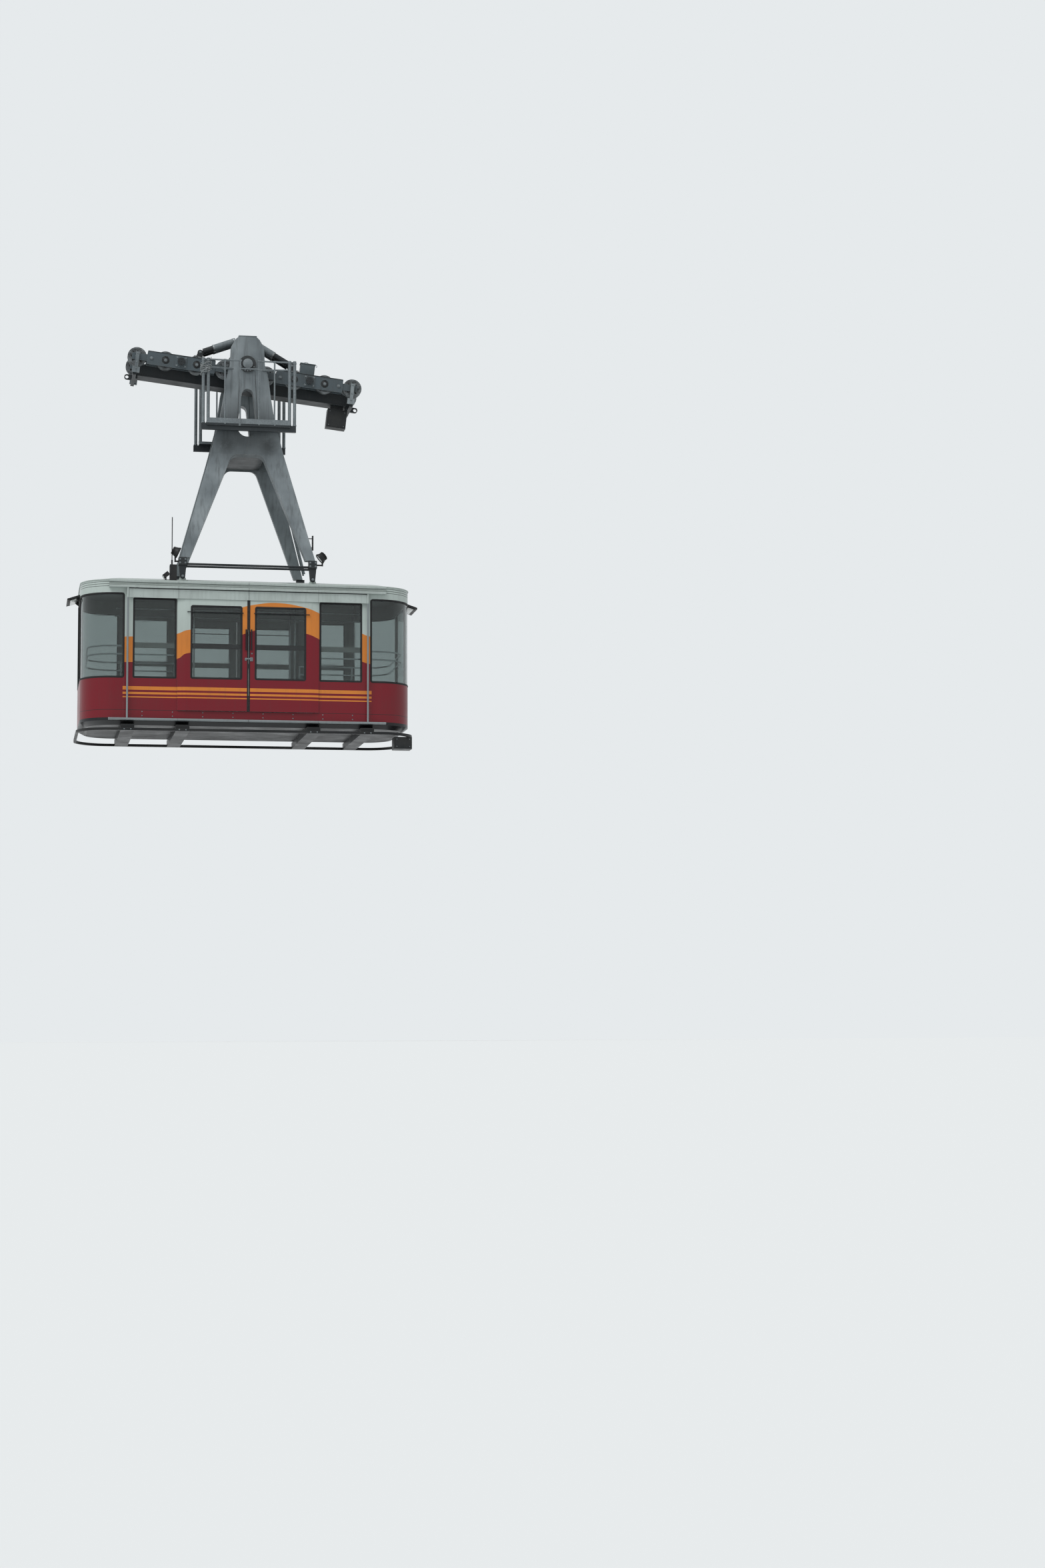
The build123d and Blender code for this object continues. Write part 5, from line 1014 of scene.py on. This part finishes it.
# %% Lenses, rims and fins of the lamps
FLOODS = ((-1.238, -3.134, -65), (1.281, -3.157, 50))          # X, Z and tilt in degrees
LENS = [(0, 0.012), (0.03, 0.011), (0.06, 0.008), (0.080, 0.002), (0.084, -0.001), (0, -0.001)]
RIM = [(0.082, -0.001), (0.082, 0.010), (0.086, 0.014), (0.092, 0.013), (0.096, 0.006), (0.096, -0.012),
       (0.0935, -0.014), (0.082, -0.001)]
FIN = [(0.060, 0), (0.078, 0.0005), (0.079, 0.003), (0.060, 0.0035), (0.060, 0)]
BOX_TILT = math.radians(-40)
END_LAMP = dict(place=(2.9226, 0, HEADER - 0.0675), right=(0, 1, 0), up=unit(np.array([0.215, 0, -0.072])))
lenses, rims = [], []
for x, z, tilt in FLOODS:
    facing = np.array([-math.sin(math.radians(tilt)), 0, -math.cos(math.radians(tilt))])
    mouth = np.array([x, -0.975, z]) + 0.055 * facing
    lenses.append(spun(LENS, mouth, facing, 32))
    rims.append(spun(RIM, mouth, facing, 36))
    rims += [spun(FIN, mouth - facing * back, facing, 28) for back in (0.070, 0.085, 0.100)]
box_up = np.array([math.sin(BOX_TILT), 0, math.cos(BOX_TILT)])
box_out = np.array([math.cos(BOX_TILT), 0, -math.sin(BOX_TILT)])
box_face = np.array([-1.392, -0.950, -3.541]) - 0.0545 * box_out
lenses.append(cushioned(0.130, 0.044, 0.006, 0.006, 0.003, box_face, right=(0, -1, 0), up=box_up))
for x in (1, -1):
    rims.append(flipped(cushioned(0.62, 0.165, 0.012, 0.010, 0.004, **END_LAMP), x=x))
    lenses.append(flipped(cushioned(0.56, 0.115, 0.010, 0.014, 0.004, **END_LAMP), x=x))
made("lamp_lenses", joined(*lenses), lens)
made("lamp_bezels", joined(*rims), lamp_shell)
print("lenses:", len(lenses))

# %% [markdown]
# Underside
#
# The bumper ring is held by straps on the four cross beams, and the control box below it has a screwed lid.
# Both are plates with bolt heads, so the cushioned plate and the bolt do for them.

# %% Ring straps and the control box's lid
RING_OUT, RING_Z = HALF_W + 0.103 + 0.022, HEADER - 2.409
BEAM_X = np.array([-2.030, -1.110, 1.110, 2.030])
strap = cushioned(0.150, 0.034, 0.006, 0.005, 0.002, (0, -RING_OUT + 0.0005, RING_Z))
strap_bolts = bolts(0.009, np.concatenate([BEAM_X - 0.055, BEAM_X + 0.055]), [-RING_OUT - 0.0045], [RING_Z])
made("ring_straps", both_sides(copies(strap, grid_of(BEAM_X, [0.0], [0.0]))), black_coat_and_painted_shade)
made("ring_bolts", both_sides(strap_bolts), zinc)
control_lid = cushioned(0.262, 0.160, 0.014, 0.007, 0.003, (2.685, -0.9995, RING_Z - 0.126))
made("control_lid", control_lid, box_black)
control_screws = bolts(0.006, [2.575, 2.795], [-1.0062], [RING_Z - 0.188, RING_Z - 0.064])
made("control_screws", control_screws, zinc)
print("pieces:", len(shown))

# %% [markdown]
# Camera, floor and light
#
# The photograph was taken from far below and to the left with a long lens, looking slightly up. The camera
# stands there, at floor level. The floor is a wide pale plane that is seen only from above, so that the
# cabin can be looked at from below too. All around is an even pale grey, and one broad soft lamp from above
# the camera's shoulder gives the shapes a light and a dark side.

# %% Camera at the photograph's place
YAW, PITCH, ROLL = math.radians(-10.989), math.radians(5.430), math.radians(-0.254)
STAND = (-4.0611, -46.4929, -11.444)
SENSOR_MM, FOCAL_PIXELS, HEIGHT_PIXELS = 36.0, 4029.5, 2352
forward = Vector((-math.sin(YAW) * math.cos(PITCH), math.cos(YAW) * math.cos(PITCH), math.sin(PITCH)))
level = Vector((math.cos(YAW), math.sin(YAW), 0))
upward = level.cross(forward)
right = math.cos(ROLL) * level + math.sin(ROLL) * upward
upright = -math.sin(ROLL) * level + math.cos(ROLL) * upward
camera_data = bpy.data.cameras.new("camera")
camera_data.sensor_fit = "VERTICAL"
camera_data.sensor_height = SENSOR_MM
camera_data.lens = FOCAL_PIXELS / HEIGHT_PIXELS * SENSOR_MM
camera_data.clip_start = 0.005
camera_data.clip_end = 500.0
camera = bpy.data.objects.new("camera", camera_data)
camera.matrix_world = Matrix.Translation(STAND) @ Matrix((right, upright, -forward)).transposed().to_4x4()
bpy.context.scene.collection.objects.link(camera)
bpy.context.scene.camera = camera
print("lens, mm:", round(camera_data.lens, 2))

# %% Floor, seen from above only
FLOOR_Z, FLOOR_HALF = -11.46, 160
reach = np.linspace(-FLOOR_HALF, FLOOR_HALF, 9)
floor_points, floor_quads = woven(row(reach[:, None], reach[None, :], FLOOR_Z))
floor_mesh = bpy.data.meshes.new("floor")
floor_mesh.from_pydata(floor_points.tolist(), [], floor_quads.tolist())
floor_mesh.update()
if floor_mesh.polygons[0].normal.z < 0:
    floor_mesh.flip_normals()
floor = bpy.data.objects.new("floor", floor_mesh)
bpy.context.scene.collection.objects.link(floor)
floor_material = bpy.data.materials.new("pale_floor")
tree = emptied(floor_material)
back = put(tree, "NewGeometry", out="Backfacing")
paper = put(tree, "BsdfDiffuse", {"Color": linear("#f1f3f3")})
either = put(tree, "MixShader", (back, paper, put(tree, "BsdfTransparent")))
put(tree, "OutputMaterial", {"Surface": either}, None)
floor_mesh.materials.append(floor_material)
print("floor at", FLOOR_Z)

# %% Pale surroundings and one soft lamp
# What is seen or mirrored is a pale grey. What only lights is dimmer, so that shapes keep a dark side.
world = bpy.data.worlds.new("studio")
bpy.context.scene.world = world
tree = emptied(world)
ray = put(tree, "LightPath", out=None).outputs
seen = put(tree, "Math", (ray["Is Camera Ray"], ray["Is Glossy Ray"]), operation="MAXIMUM")
seen = put(tree, "Math", (seen, ray["Is Transmission Ray"]), operation="MAXIMUM")
pale = put(tree, "Background", {"Color": linear("#e6eaec"), "Strength": 1.0})
fill = put(tree, "Background", {"Color": linear("#f4f7f9"), "Strength": 0.62})
around = put(tree, "MixShader", (seen, fill, pale))
put(tree, "OutputWorld", {"Surface": around}, None)
lamp_data = bpy.data.lights.new("soft_key", "SUN")
lamp_data.energy = 1.5
lamp_data.angle = math.radians(35)
lamp = bpy.data.objects.new("soft_key", lamp_data)
lamp.rotation_euler = Vector((-0.55, -0.62, 0.9)).to_track_quat("Z", "Y").to_euler()
bpy.context.scene.collection.objects.link(lamp)
bpy.context.scene.view_settings.view_transform = "Standard"
print("lamp energy:", lamp_data.energy)

# %% [markdown]
# Count the pieces
#
# The new pieces and their faces are counted. At the sides, bolts stand about a centimetre proud of the
# bumper ring.

# %% Count the pieces and finish
print("pieces:", len(shown), "faces:", sum(shown))
